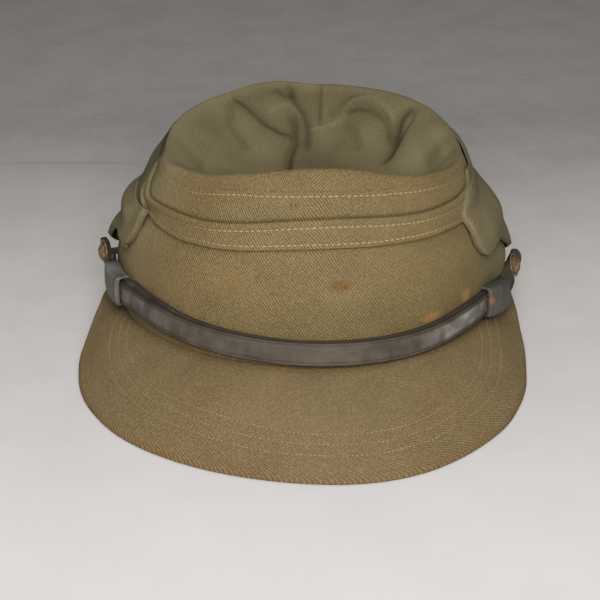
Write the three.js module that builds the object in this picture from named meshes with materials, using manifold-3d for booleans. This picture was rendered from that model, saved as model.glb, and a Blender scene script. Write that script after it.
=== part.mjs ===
// A soft field cap of the kepi form, empty and lying on a flat surface.
// The cap's own frame has -Y to the visor, +Y to the back of the head and +Z up, with z = 0 on
// the rim. Left (-X) and right (+X) are those of a viewer whom the visor faces. Angles go round
// the cap from the front, towards the right.
import * as THREE from 'three';
import { mergeVertices } from 'three/addons/utils/BufferGeometryUtils.js';
import Module from 'manifold-3d';

// Driving dimensions, in millimetres and degrees
const RIM_WIDTH = 166;
const RIM_LENGTH = 196;
const FRONT_HEIGHT = 73;
const SIDE_HEIGHT = 67;
const BACK_HEIGHT = 76;
const CREST_LEAN = 3.4;
const FOLD_DEPTH = 6;
const CROWN_CLOTH = 2;
const SEAM_GAP = 0.3;
const LAYER_GAP = 0.4;

const BAND_CLOTH = 1.2;
const BAND_HALF_ANGLE = 72;
const CURTAIN_CLOTH = 1.8;

const VISOR_REACH = 41.5;
const VISOR_SKEW = 2.2;
const VISOR_CLOTH = 3;
const VISOR_BULGE = 3;
const VISOR_HALF_ANGLE = 86;
const VISOR_FLOOR_ANGLE = 57;

const STRAP_WIDTH = 10;
const OUTER_STRAP = 1.8;
const INNER_STRAP = 1.4;
const INNER_STRAP_RISE = 1.3;
const STRAP_RIGHT_STAND = 3;
const STRAP_FREE_ANGLE = 52;
const STRAP_CLEAR_ANGLE = 72;
const STRAP_END = 7;

const SLIDE_LENGTH = 12;
const SLIDE_LEATHER = 1.2;
const SLIDE_CLEARANCE = 0.4;
const SLIDE_LEFT_ANGLE = -69;
const SLIDE_RIGHT_ANGLE = 65;

const BUTTON_ANGLE = 88;
const BUTTON_HEIGHT = 15;
const BUTTON_DIAMETER = 11;
const BUTTON_DOME = 2.6;
const BUTTON_RIM = 0.6;
const SHANK_DIAMETER = 3;
const SHANK_HOLE_CLEARANCE = 0.4;

const REST_TILT = 8;
const REAR_FLAT = 20;

// Forms that follow the sizes above: how many times the visor's skew changes side, how far past
// the crest the folds reach their full depth, and the blunt share of a strap's rounded end.
const VISOR_SKEW_WAVES = 3.6;
const FOLD_START = 1.0;
const FOLD_FULL = 1.15;
const STRAP_TIP_SHARE = 0.35;

// Facets
const AROUND = 72;
const WALL_ROWS = 10;
const ROW_CROWDING = 0.12;
const TIP_ROWS = 10;
const BAND_ROWS = 2;
const CURTAIN_ROWS = 7;
const CURTAIN_COLUMNS = 56;
const VISOR_ROWS = 6;
const VISOR_COLUMNS = 48;
const STRAP_STEPS = 64;
const DOME_STEPS = 4;
const BUTTON_SIDES = 20;
const HOLE_SIDES = 12;
const SLIDE_STEPS = 4;
const NEAR_ANGLE = 0.02;
const NEAR_SECTION = 0.02;

const radians = THREE.MathUtils.degToRad;
const smoothstep = THREE.MathUtils.smoothstep;
const clamp = THREE.MathUtils.clamp;
const lerp = THREE.MathUtils.lerp;

// Horizontal sections of the crown. at: 0 on the rim, 1 on the crest, 2 in the middle of the
// sunken top. wide, front and back: shares of half the rim's width and half its length.
// square: exponent of the oval. rise: share of the crest's height.
const CROWN_SECTIONS = [
  { at: 0.00, wide: 1.000, front: 1.000, back: 1.000, square: 2.0, rise: 0.000 },
  { at: 0.35, wide: 1.005, front: 0.955, back: 1.000, square: 2.0, rise: 0.350 },
  { at: 0.55, wide: 0.965, front: 0.925, back: 0.975, square: 2.1, rise: 0.550 },
  { at: 0.75, wide: 0.878, front: 0.885, back: 0.905, square: 2.2, rise: 0.750 },
  { at: 0.90, wide: 0.812, front: 0.850, back: 0.820, square: 2.3, rise: 0.910 },
  { at: 1.00, wide: 0.770, front: 0.800, back: 0.735, square: 2.4, rise: 1.000 },
  { at: 1.10, wide: 0.700, front: 0.735, back: 0.665, square: 2.4, rise: 0.955 },
  { at: 1.30, wide: 0.585, front: 0.640, back: 0.540, square: 2.3, rise: 0.800 },
  { at: 1.60, wide: 0.360, front: 0.400, back: 0.340, square: 2.1, rise: 0.640 },
  { at: 2.00, wide: 0.000, front: 0.000, back: 0.000, square: 2.0, rise: 0.600 },
];

// Main folds of the sunken top, each a straight valley (depth above 0) or ridge (below 0).
// x and y: shares of half the rim's width and length. width: share of half the rim's width.
// depth: share of the fold depth.
const TOP_FOLDS = [
  { x0: -0.14, y0: 0.66, x1: -0.03, y1: 0.56, width: 0.100, depth: 0.8 },
  { x0: -0.03, y0: 0.56, x1: 0.02, y1: 0.42, width: 0.105, depth: 1.0 },
  { x0: -0.18, y0: 0.52, x1: -0.14, y1: 0.30, width: 0.110, depth: -0.8 },
  { x0: -0.38, y0: 0.56, x1: -0.26, y1: 0.50, width: 0.100, depth: 0.8 },
  { x0: 0.19, y0: 0.55, x1: 0.32, y1: 0.53, width: 0.120, depth: -0.7 },
  { x0: 0.46, y0: 0.52, x1: 0.49, y1: 0.32, width: 0.110, depth: 0.9 },
];

// Where the wall ends and the top panel begins. turn: share of half a turn from the front.
const TIP_SEAM = [
  { turn: 0.00, at: 0.900 },
  { turn: 0.22, at: 0.905 },
  { turn: 0.38, at: 0.980 },
  { turn: 0.52, at: 1.070 },
  { turn: 0.80, at: 1.200 },
  { turn: 1.00, at: 1.300 },
];

// Edges of the front band. turn: share of the band's half angle. low and high: crown sections.
const BAND_EDGES = [
  { turn: 0.00, low: 0.603, high: 0.750 },
  { turn: 0.45, low: 0.598, high: 0.730 },
  { turn: 0.65, low: 0.612, high: 0.740 },
  { turn: 0.80, low: 0.640, high: 0.810 },
  { turn: 1.00, low: 0.660, high: 0.860 },
];

// Front edge of the curtain, a pointed tab. along: 0 at its lowest point, 1 at the top.
const TAB_FRONT = [
  { along: 0.00, turn: 0.317 },
  { along: 0.30, turn: 0.300 },
  { along: 0.48, turn: 0.294 },
  { along: 0.65, turn: 0.312 },
  { along: 0.80, turn: 0.337 },
  { along: 1.00, turn: 0.356 },
];

// Lower and upper edges of the curtain. back: 0 at the tab's front edge, 1 at the centre back.
const CURTAIN_EDGES = [
  { back: 0.00, low: 0.430, high: 0.940 },
  { back: 0.14, low: 0.290, high: 0.930 },
  { back: 0.26, low: 0.110, high: 0.900 },
  { back: 0.34, low: 0.075, high: 0.880 },
  { back: 1.00, low: 0.075, high: 0.860 },
];

// Visor. turn: share of its half angle. reach: share of the visor's reach.
const VISOR_OUTLINE = [
  { turn: 0.00, reach: 1.000 },
  { turn: 0.28, reach: 0.980 },
  { turn: 0.47, reach: 0.895 },
  { turn: 0.60, reach: 0.755 },
  { turn: 0.72, reach: 0.560 },
  { turn: 0.84, reach: 0.340 },
  { turn: 0.92, reach: 0.240 },
  { turn: 1.00, reach: 0.190 },
];

// Height of the middle of the strap. turn: share of the button's angle. rise: share of the
// button's height.
const STRAP_PATH = [
  { turn: -1.20, rise: 1.20 },
  { turn: -1.00, rise: 1.00 },
  { turn: -0.90, rise: 0.78 },
  { turn: -0.78, rise: 0.60 },
  { turn: -0.62, rise: 0.58 },
  { turn: -0.40, rise: 0.51 },
  { turn: -0.18, rise: 0.42 },
  { turn: 0.00, rise: 0.35 },
  { turn: 0.22, rise: 0.33 },
  { turn: 0.40, rise: 0.33 },
  { turn: 0.55, rise: 0.35 },
  { turn: 0.70, rise: 0.43 },
  { turn: 0.82, rise: 0.57 },
  { turn: 0.92, rise: 0.72 },
  { turn: 1.00, rise: 0.85 },
  { turn: 1.20, rise: 1.05 },
];

// Value of a table's column at a place in its first column, along a smooth curve.
function column(table, key, name, place) {
  const last = table.length - 1;
  let i = 0;
  while (i < last - 1 && place > table[i + 1][key]) i += 1;
  const slope = (k) => {
    const from = table[Math.max(k - 1, 0)];
    const to = table[Math.min(k + 1, last)];
    return (to[name] - from[name]) / (to[key] - from[key]);
  };
  const a = table[i];
  const b = table[i + 1];
  const step = b[key] - a[key];
  const t = clamp((place - a[key]) / step, 0, 1);
  const rest = 1 - t;
  const ends = (1 + 2 * t) * rest * rest * a[name] + t * t * (3 - 2 * t) * b[name];
  return ends + step * (t * rest * rest * slope(i) - t * t * rest * slope(i + 1));
}

// Height of the crest above the rim.
function crestHeight(angle) {
  const facing = Math.cos(angle);
  const end = facing > 0 ? FRONT_HEIGHT : BACK_HEIGHT;
  return SIDE_HEIGHT + (end - SIDE_HEIGHT) * facing * facing;
}

// Height of the surface that the cap lies on, in the cap's frame.
function floorHeight(y) {
  return (y - (RIM_LENGTH / 2 - REAR_FLAT)) * Math.tan(radians(REST_TILT));
}

// Depth of the folds at a point of the sunken top.
function foldDepth(x, y) {
  let depth = 0;
  for (const fold of TOP_FOLDS) {
    const start = new THREE.Vector2(fold.x0 * RIM_WIDTH, fold.y0 * RIM_LENGTH).divideScalar(2);
    const way = new THREE.Vector2(fold.x1 * RIM_WIDTH, fold.y1 * RIM_LENGTH).divideScalar(2).sub(start);
    const from = new THREE.Vector2(x, y).sub(start);
    const along = clamp(from.dot(way) / way.lengthSq(), 0, 1);
    const away = from.addScaledVector(way, -along).length() / (fold.width * RIM_WIDTH / 2);
    depth += fold.depth * FOLD_DEPTH * Math.exp(-away * away);
  }
  return depth;
}

// Point of the crown's outer face at an angle (radians) and a section.
function crownPoint(angle, at) {
  const side = Math.sin(angle);
  const facing = Math.cos(angle);
  const power = 2 / column(CROWN_SECTIONS, 'at', 'square', at);
  const half = column(CROWN_SECTIONS, 'at', facing > 0 ? 'front' : 'back', at) * RIM_LENGTH / 2;
  const wide = column(CROWN_SECTIONS, 'at', 'wide', at) * RIM_WIDTH / 2;
  const x = wide * Math.sign(side) * Math.abs(side) ** power + CREST_LEAN * smoothstep(at, 0, 1);
  const y = -half * Math.sign(facing) * Math.abs(facing) ** power;
  const z = crestHeight(angle) * column(CROWN_SECTIONS, 'at', 'rise', at);
  return new THREE.Vector3(x, y, z - foldDepth(x, y) * smoothstep(at, FOLD_START, FOLD_FULL));
}

// Outward normal of the smooth crown, taken between points close round a place.
function crownNormal(angle, at) {
  const low = Math.max(at - NEAR_SECTION, 0);
  const high = Math.min(at + NEAR_SECTION, 2 - NEAR_SECTION);
  const across = crownPoint(angle + NEAR_ANGLE, at).sub(crownPoint(angle - NEAR_ANGLE, at));
  const up = crownPoint(angle, high).sub(crownPoint(angle, low));
  return across.cross(up).normalize();
}

// Point off the crown's outer face; a negative distance is inside the cloth.
function offCrown(angle, at, distance) {
  return crownPoint(angle, at).addScaledVector(crownNormal(angle, at), distance);
}

// Closed slab between two grids of points. face(i, j) gives the outer and the inner point of
// column i, row j. A round slab joins its last column to its first, and a pole closes the last
// row to one point.
function slab(columns, rows, face, { round = false, pole = false } = {}) {
  const points = [];
  const triangles = [];
  const count = round ? columns : columns + 1;
  const full = pole ? rows : rows + 1;
  const grid = (side) => {
    const first = points.length;
    for (let j = 0; j < full; j += 1) {
      for (let i = 0; i < count; i += 1) points.push(face(i, j)[side]);
    }
    if (pole) points.push(face(0, rows)[side]);
    return (i, j) => (pole && j === rows ? first + full * count : first + j * count + (i % count));
  };
  const outer = grid(0);
  const inner = grid(1);
  const quad = (a, b, c, d) => {
    if (a !== b && b !== c) triangles.push(a, b, c);
    if (a !== c && c !== d) triangles.push(a, c, d);
  };
  for (let j = 0; j < rows; j += 1) {
    for (let i = 0; i < columns; i += 1) {
      const closes = pole && j === rows - 1;
      if (closes) {
        triangles.push(outer(i, j), outer(i + 1, j), outer(i, rows));
        triangles.push(inner(i + 1, j), inner(i, j), inner(i, rows));
      } else {
        quad(outer(i, j), outer(i + 1, j), outer(i + 1, j + 1), outer(i, j + 1));
        quad(inner(i + 1, j), inner(i, j), inner(i, j + 1), inner(i + 1, j + 1));
      }
    }
  }
  for (let i = 0; i < columns; i += 1) {
    quad(inner(i, 0), inner(i + 1, 0), outer(i + 1, 0), outer(i, 0));
    if (!pole) quad(outer(i, rows), outer(i + 1, rows), inner(i + 1, rows), inner(i, rows));
  }
  if (!round) {
    for (let j = 0; j < rows; j += 1) {
      quad(inner(0, j), outer(0, j), outer(0, j + 1), inner(0, j + 1));
      quad(outer(columns, j), inner(columns, j), inner(columns, j + 1), outer(columns, j + 1));
    }
  }
  const geometry = new THREE.BufferGeometry().setFromPoints(points);
  geometry.setIndex(triangles);
  return geometry;
}

// Section at which the tip seam lies.
function seamAt(angle) {
  const turn = Math.abs(Math.atan2(Math.sin(angle), Math.cos(angle))) / Math.PI;
  return column(TIP_SEAM, 'turn', 'at', turn);
}

// Outer and inner edge points at the seam, below it for side -1 and beyond it for side 1.
function seamEdge(angle, side) {
  const near = NEAR_ANGLE / 2;
  const at = seamAt(angle);
  const out = crownNormal(angle, at);
  const along = crownPoint(angle + near, seamAt(angle + near));
  along.sub(crownPoint(angle - near, seamAt(angle - near))).normalize();
  const away = out.clone().cross(along).normalize();
  const outer = crownPoint(angle, at).addScaledVector(away, side * SEAM_GAP);
  return [outer, outer.clone().addScaledVector(out, -CROWN_CLOTH)];
}

// Wall of the crown, from the rim over the crest to the tip seam. At the back its lower edge
// is pressed flat by the surface.
function crownWall() {
  const face = (i, j) => {
    const angle = (2 * Math.PI * i) / AROUND;
    if (j === WALL_ROWS) return seamEdge(angle, -1);
    const share = j / WALL_ROWS;
    const at = seamAt(angle) * (share + ROW_CROWDING * Math.sin(Math.PI * share));
    const pair = [offCrown(angle, at, 0), offCrown(angle, at, -CROWN_CLOTH)];
    if (j === 0) {
      for (const point of pair) point.z = Math.max(0, floorHeight(point.y));
    }
    return pair;
  };
  return slab(AROUND, WALL_ROWS, face, { round: true });
}

// Sunken top panel, inside the tip seam.
function crownTip() {
  const face = (i, j) => {
    const angle = (2 * Math.PI * i) / AROUND;
    if (j === 0) return seamEdge(angle, 1);
    const at = lerp(seamAt(angle), 2, j / TIP_ROWS);
    return [offCrown(angle, at, 0), offCrown(angle, at, -CROWN_CLOTH)];
  };
  const middle = crownPoint(0, 2);
  const pole = [middle, middle.clone().setZ(middle.z - CROWN_CLOTH)];
  return slab(AROUND, TIP_ROWS, (i, j) => (j === TIP_ROWS ? pole : face(i, j)), { round: true, pole: true });
}

// Second layer of cloth round the front of the wall.
function frontBand() {
  const columns = Math.round((AROUND * BAND_HALF_ANGLE) / 180);
  const face = (i, j) => {
    const turn = (2 * i) / columns - 1;
    const angle = radians(turn * BAND_HALF_ANGLE);
    const low = column(BAND_EDGES, 'turn', 'low', Math.abs(turn));
    const high = column(BAND_EDGES, 'turn', 'high', Math.abs(turn));
    const at = lerp(low, high, j / BAND_ROWS);
    return [offCrown(angle, at, LAYER_GAP + BAND_CLOTH), offCrown(angle, at, LAYER_GAP)];
  };
  return slab(columns, BAND_ROWS, face);
}

// Distances from the crown to the curtain's two faces; it passes over the ends of the band.
const CURTAIN_STAND = 2 * LAYER_GAP + BAND_CLOTH;
const CURTAIN_FACE = CURTAIN_STAND + CURTAIN_CLOTH;

// Turned-up curtain round the sides and the back, from tab to tab.
function neckCurtain() {
  const face = (i, j) => {
    const across = (2 * i) / CURTAIN_COLUMNS - 1;
    const back = 1 - Math.abs(across);
    const along = j / CURTAIN_ROWS;
    const front = column(TAB_FRONT, 'along', 'turn', along);
    const angle = Math.PI * (1 + Math.sign(across) * (1 - lerp(front, 1, back)));
    const low = column(CURTAIN_EDGES, 'back', 'low', back);
    const high = column(CURTAIN_EDGES, 'back', 'high', back);
    const at = lerp(low, high, along);
    return [offCrown(angle, at, CURTAIN_FACE), offCrown(angle, at, CURTAIN_STAND)];
  };
  return slab(CURTAIN_COLUMNS, CURTAIN_ROWS, face);
}

// Visor, a slightly domed crescent whose root is tucked under the wall and whose front edge
// lies on the surface.
function visor() {
  const drop = (angle) => smoothstep(Math.abs(angle), radians(VISOR_FLOOR_ANGLE), radians(VISOR_HALF_ANGLE));
  const face = (i, j) => {
    const turn = (2 * i) / VISOR_COLUMNS - 1;
    const angle = radians(turn * VISOR_HALF_ANGLE);
    const outward = crownNormal(angle, 0).setZ(0).normalize();
    const skew = VISOR_SKEW * Math.sin(VISOR_SKEW_WAVES * angle) * (1 - Math.abs(turn));
    const reach = column(VISOR_OUTLINE, 'turn', 'reach', Math.abs(turn)) * VISOR_REACH + skew;
    const along = j / VISOR_ROWS;
    const root = crownPoint(angle, 0);
    const edge = root.clone().addScaledVector(outward, reach);
    const place = root.clone().addScaledVector(outward, lerp(-CROWN_CLOTH, reach, along));
    const edgeTop = lerp(floorHeight(edge.y) + VISOR_CLOTH, -SEAM_GAP, drop(angle));
    const bulge = VISOR_BULGE * (1 - drop(angle)) * Math.sin(Math.PI * along);
    place.z = lerp(-SEAM_GAP, edgeTop, along) + bulge;
    return [place.clone().setZ(place.z - VISOR_CLOTH), place];
  };
  return slab(VISOR_COLUMNS, VISOR_ROWS, face);
}

// Distance from the crown to the inner strap, which stands off at the sides where it passes
// over the curtain, and more so on the right.
function strapStand(angle) {
  const free = smoothstep(Math.abs(angle), radians(STRAP_FREE_ANGLE), radians(STRAP_CLEAR_ANGLE));
  const extra = angle > 0 ? STRAP_RIGHT_STAND : 0;
  return LAYER_GAP + free * (CURTAIN_FACE + extra);
}

// Frame of the strap at an angle: its middle on the wall, the way out and the way up.
function strapFrame(angle, stand, rise = 0) {
  const turn = angle / radians(BUTTON_ANGLE);
  const height = column(STRAP_PATH, 'turn', 'rise', turn) * BUTTON_HEIGHT + rise;
  const at = height / crestHeight(angle);
  const out = crownNormal(angle, at);
  const middle = crownPoint(angle, at).addScaledVector(out, stand);
  const along = crownPoint(angle + NEAR_ANGLE, at).sub(crownPoint(angle - NEAR_ANGLE, at));
  return { middle, out, up: out.clone().cross(along).normalize() };
}

// Strap of a thickness between two angles, with a rounded end where rounded says so.
function strap(from, to, thickness, standAt, rise, rounded) {
  const face = (i, j) => {
    const angle = lerp(from, to, i / STRAP_STEPS);
    const { middle, out, up } = strapFrame(angle, standAt(angle), rise);
    const radius = RIM_WIDTH / 2;
    const distances = rounded.map((end) => Math.abs(angle - (end < 0 ? from : to)) * radius);
    const nearest = Math.min(STRAP_WIDTH / 2, ...distances);
    const cut = 1 - nearest / (STRAP_WIDTH / 2);
    const half = (STRAP_WIDTH / 2) * Math.max(Math.sqrt(1 - cut * cut), STRAP_TIP_SHARE);
    const inner = middle.clone().addScaledVector(up, (2 * j - 1) * half);
    return [inner.clone().addScaledVector(out, thickness), inner];
  };
  return slab(STRAP_STEPS, 1, face);
}

const buttonAngle = radians(BUTTON_ANGLE);
const strapEnd = STRAP_END / (RIM_WIDTH / 2);
const shankGap = (SHANK_DIAMETER / 2 + 3 * SHANK_HOLE_CLEARANCE) / (RIM_WIDTH / 2);
const slideReach = (SLIDE_LENGTH / 2) / (RIM_WIDTH / 2);

// Distance from the crown to the outer strap, which lies over the inner one.
function outerStand(angle) {
  return strapStand(angle) + INNER_STRAP + SEAM_GAP;
}

// Long strap from the left button across the front to just past the right-hand loop.
function outerStrap() {
  const from = -buttonAngle - strapEnd;
  const to = radians(SLIDE_RIGHT_ANGLE) + slideReach / 2;
  return strap(from, to, OUTER_STRAP, outerStand, 0, [-1, 1]);
}

// Second strap from the right button across the front, behind the first, to the left shank.
function innerStrap() {
  const from = -buttonAngle + shankGap + strapEnd / 2;
  const to = buttonAngle + strapEnd;
  return strap(from, to, INNER_STRAP, strapStand, INNER_STRAP_RISE, [1]);
}

// Loop of leather round both straps.
function strapSlide(angle) {
  const inside = INNER_STRAP + SEAM_GAP + OUTER_STRAP + 2 * SLIDE_CLEARANCE;
  const tall = STRAP_WIDTH + INNER_STRAP_RISE + 2 * SLIDE_CLEARANCE;
  const corners = [[-1, 0], [1, 0], [1, 1], [-1, 1]];
  const face = (i, j) => {
    const place = angle + lerp(-slideReach, slideReach, j / SLIDE_STEPS);
    const { middle, out, up } = strapFrame(place, strapStand(place) - SLIDE_CLEARANCE, INNER_STRAP_RISE / 2);
    const [rise, depth] = corners[i % corners.length];
    const within = middle.clone().addScaledVector(up, (rise * tall) / 2).addScaledVector(out, depth * inside);
    const outside = within.clone().addScaledVector(up, rise * SLIDE_LEATHER);
    outside.addScaledVector(out, (2 * depth - 1) * SLIDE_LEATHER);
    return [outside, within];
  };
  return slab(corners.length, SLIDE_STEPS, face, { round: true });
}

// Domed button with its shank, turned round the shank's axis. z = 0 is under the head.
function buttonGeometry(shankLength) {
  const radius = BUTTON_DIAMETER / 2;
  const shank = SHANK_DIAMETER / 2;
  const outline = [
    new THREE.Vector2(0, -shankLength),
    new THREE.Vector2(shank, -shankLength),
    new THREE.Vector2(shank, 0),
    new THREE.Vector2(radius - BUTTON_RIM / 2, 0),
    new THREE.Vector2(radius, BUTTON_RIM / 2),
  ];
  for (let step = 0; step <= DOME_STEPS; step += 1) {
    const slope = (Math.PI / 2) * (step / DOME_STEPS);
    const across = (radius - BUTTON_RIM / 2) * Math.cos(slope);
    outline.push(new THREE.Vector2(across, BUTTON_RIM + BUTTON_DOME * Math.sin(slope)));
  }
  outline[outline.length - 1].x = 0;
  return new THREE.LatheGeometry(outline, BUTTON_SIDES).rotateX(Math.PI / 2);
}

// Puts a piece on a strap's frame: z out of the crown, from a distance off it.
function seat(object, angle, stand, rise) {
  const { middle, out, up } = strapFrame(angle, stand, rise);
  const across = up.clone().cross(out);
  object.matrix.makeBasis(across, up, out).setPosition(middle);
  object.matrix.decompose(object.position, object.quaternion, object.scale);
  return object;
}

const wasm = await Module();
wasm.setup();

// Closed mesh as a solid for a cut, in the frame that its object stands in.
function solid(geometry, matrix = new THREE.Matrix4()) {
  const plain = geometry.clone().applyMatrix4(matrix);
  plain.deleteAttribute('normal');
  plain.deleteAttribute('uv');
  const merged = mergeVertices(plain, 1e-4);
  const vertProperties = new Float32Array(merged.getAttribute('position').array);
  const triVerts = new Uint32Array(merged.getIndex().array);
  return new wasm.Manifold(new wasm.Mesh({ numProp: 3, vertProperties, triVerts }));
}

// Strap with the hole that the button's shank passes through.
function pierced(geometry, angle, stand, rise) {
  const radius = SHANK_DIAMETER / 2 + SHANK_HOLE_CLEARANCE;
  const drill = new THREE.CylinderGeometry(radius, radius, 4 * OUTER_STRAP, HOLE_SIDES).rotateX(Math.PI / 2);
  const place = seat(new THREE.Object3D(), angle, stand, rise);
  place.updateMatrix();
  const mesh = solid(geometry).subtract(solid(drill, place.matrix)).getMesh();
  const result = new THREE.BufferGeometry();
  result.setAttribute('position', new THREE.BufferAttribute(new Float32Array(mesh.vertProperties), 3));
  result.setIndex([...mesh.triVerts]);
  return result;
}

function finish(color, roughness, metalness) {
  return new THREE.MeshStandardMaterial({ color, roughness, metalness });
}

const cloth = finish(0x7c6c4b, 0.95, 0);
const topCloth = finish(0x6f6248, 0.95, 0);
const strapLeather = finish(0x5b524c, 0.7, 0);
const slideLeather = finish(0x4b4b4c, 0.7, 0);
const brass = finish(0x8f6f4a, 0.5, 0.8);

const cap = new THREE.Group();

function add(name, geometry, material) {
  const mesh = new THREE.Mesh(geometry, material);
  mesh.name = name;
  cap.add(mesh);
  return mesh;
}

add('crown_wall', crownWall(), cloth);
add('crown_tip', crownTip(), topCloth);
add('front_band', frontBand(), cloth);
add('neck_curtain', neckCurtain(), cloth);
add('visor', visor(), cloth);

const holders = [
  {
    side: 'left', angle: -buttonAngle, slide: radians(SLIDE_LEFT_ANGLE),
    strap: 'chin_strap_outer', body: outerStrap(), thickness: OUTER_STRAP, stand: outerStand, rise: 0,
  },
  {
    side: 'right', angle: buttonAngle, slide: radians(SLIDE_RIGHT_ANGLE),
    strap: 'chin_strap_inner', body: innerStrap(), thickness: INNER_STRAP, stand: strapStand,
    rise: INNER_STRAP_RISE,
  },
];

for (const holder of holders) {
  const { side, angle, thickness, rise } = holder;
  const under = holder.stand(angle);
  const face = under + thickness + SEAM_GAP;
  add(holder.strap, pierced(holder.body, angle, under, rise), strapLeather);
  add(`strap_slide_${side}`, strapSlide(holder.slide), slideLeather);
  const button = add(`button_${side}`, buttonGeometry(face - CURTAIN_FACE - SEAM_GAP), brass);
  seat(button, angle, face, rise);
}

// The cap lies tipped back: on the rear of its rim and the front edge of the visor.
cap.rotation.x = -radians(REST_TILT);
const resting = new THREE.Group();
resting.add(cap);
const box = new THREE.Box3().setFromObject(resting, true);
const centre = box.getCenter(new THREE.Vector3());
cap.position.set(-centre.x, -centre.y, -box.min.z);

export default resting;
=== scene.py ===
"""A soft cloth field cap of the kepi form, empty, lying on a pale floor."""

import bpy
import numpy as np
from bpy.props import FloatProperty, FloatVectorProperty, PointerProperty
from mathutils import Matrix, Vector


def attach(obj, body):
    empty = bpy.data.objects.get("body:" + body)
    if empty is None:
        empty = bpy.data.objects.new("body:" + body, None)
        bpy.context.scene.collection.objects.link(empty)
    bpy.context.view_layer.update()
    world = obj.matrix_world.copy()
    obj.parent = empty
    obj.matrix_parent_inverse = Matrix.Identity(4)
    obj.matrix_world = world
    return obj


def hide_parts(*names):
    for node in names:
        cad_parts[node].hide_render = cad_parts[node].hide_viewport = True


bl_info = {
    "name": "Kepi Cap",
    "version": (1, 0, 0),
    "blender": (4, 5, 0),
    "location": "3D View > Sidebar > Kepi Cap",
    "description": "Builds a soft kepi cap in twill with a leather chin strap",
    "category": "Add Mesh",
}

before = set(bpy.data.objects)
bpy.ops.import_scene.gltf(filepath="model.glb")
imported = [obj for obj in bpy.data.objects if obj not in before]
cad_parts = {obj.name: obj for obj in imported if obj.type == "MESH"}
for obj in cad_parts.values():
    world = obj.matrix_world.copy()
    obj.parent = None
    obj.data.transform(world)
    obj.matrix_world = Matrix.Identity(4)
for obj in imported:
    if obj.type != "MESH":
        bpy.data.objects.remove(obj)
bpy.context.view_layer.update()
MM = 0.001

# The cap's own frame: -Y to the visor, +Z up from the rim. It lies tipped back on the floor.
REST_TILT = np.radians(8.0)
CAP_ORIGIN = (-0.5994, 18.8255, 10.8555)
HALF_LENGTH = 98.0
REAR_FLAT = 20.0
CREST_LEAN = 3.4
CROWN_CLOTH = 2.0
LAYER_GAP = 0.4
BAND_CLOTH = 1.2
CURTAIN_STAND = 2.0
CURTAIN_CLOTH = 1.8
VISOR_CLOTH = 3.0
OUTER_STRAP = 1.8
INNER_STRAP = 1.4
STRAP_STAND = LAYER_GAP
OUTER_STAND = STRAP_STAND + INNER_STRAP + 0.3
INNER_RISE = 1.3
SLIDE_CLEARANCE = 0.4
SLIDE_LEATHER = 1.5
INNER_START = 0.033
# Lengths that turn angles and sections into millimetres: the rim's mean and half its width, the
# crest's height, the flat that the curtain's hems are drawn on and half the curtain's length.
ARC = 90.5
HALF_RIM = 83.0
CREST_TALL = 73
HEM_SCALE = (1.5, 72.0)
CURTAIN_ARC = np.radians(120) * ARC
# Half the gap in the seam of the top, as a share of the section; the highest section where the
# band follows the wall's relief; and the visor's length along its slope against its reach.
SEAM_GAP = 0.0003
RELIEF_TOP = 0.86
VISOR_SLOPE = 1.18

# Horizontal sections of the crown: 0 on the rim, 1 on the crest, 2 in the middle of the top.
SECTIONS = {
    "at": (0.00, 0.35, 0.55, 0.75, 0.90, 1.00, 1.10, 1.30, 1.60, 2.00),
    "wide": (1.00, 1.005, 0.965, 0.878, 0.812, 0.770, 0.700, 0.585, 0.360, 0.0),
    "front": (1.00, 0.955, 0.925, 0.885, 0.850, 0.800, 0.735, 0.640, 0.400, 0.0),
    "back": (1.00, 1.000, 0.975, 0.905, 0.820, 0.735, 0.665, 0.540, 0.340, 0.0),
    "square": (2.0, 2.0, 2.1, 2.2, 2.3, 2.4, 2.4, 2.3, 2.1, 2.0),
    "rise": (0.00, 0.35, 0.55, 0.75, 0.91, 1.00, 0.955, 0.80, 0.64, 0.60),
}

# Height of the crest round the cap, by the angle from the front towards the right.
CREST = {
    "turn": (-180, -168, -150, -120, -90, -60, -42, -22, -5, 6, 20, 36, 60, 90, 120, 150, 168,
             180),
    "height": (76.5, 78.5, 76, 70.5, 67, 66.5, 67, 70.5, 73.4, 73.4, 70.5, 67.2, 66.5, 67, 70.5,
               74.5, 76, 76.5),
}

# Section of the seam between the wall and the top panel.
TIP_SEAM = {
    "turn": (-180, -144, -94, -72, -60, -52, -40, -24, -12, -4, 6, 15, 26, 36, 48, 55, 64, 74, 94,
             144, 180),
    "at": (1.30, 1.20, 1.07, 0.99, 0.935, 0.917, 0.918, 0.915, 0.897, 0.889, 0.892, 0.908, 0.932,
           0.946, 0.947, 0.948, 0.965, 1.00, 1.07, 1.20, 1.30),
}

# Edges of the front band.
BAND = {
    "turn": (-78, -72, -66, -62, -55, -48, -40, -34, -27, -18, -9, -1, 6, 14, 24, 34, 40, 45, 52,
             58, 64, 72, 78),
    "high": (0.93, 0.89, 0.836, 0.797, 0.780, 0.772, 0.761, 0.752, 0.748, 0.748, 0.752, 0.756,
             0.763, 0.775, 0.790, 0.806, 0.815, 0.821, 0.832, 0.850, 0.862, 0.875, 0.88),
    "low": (0.76, 0.74, 0.705, 0.681, 0.655, 0.638, 0.622, 0.615, 0.604, 0.602, 0.604, 0.607,
            0.613, 0.625, 0.645, 0.665, 0.675, 0.681, 0.690, 0.700, 0.710, 0.72, 0.725),
}

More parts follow.
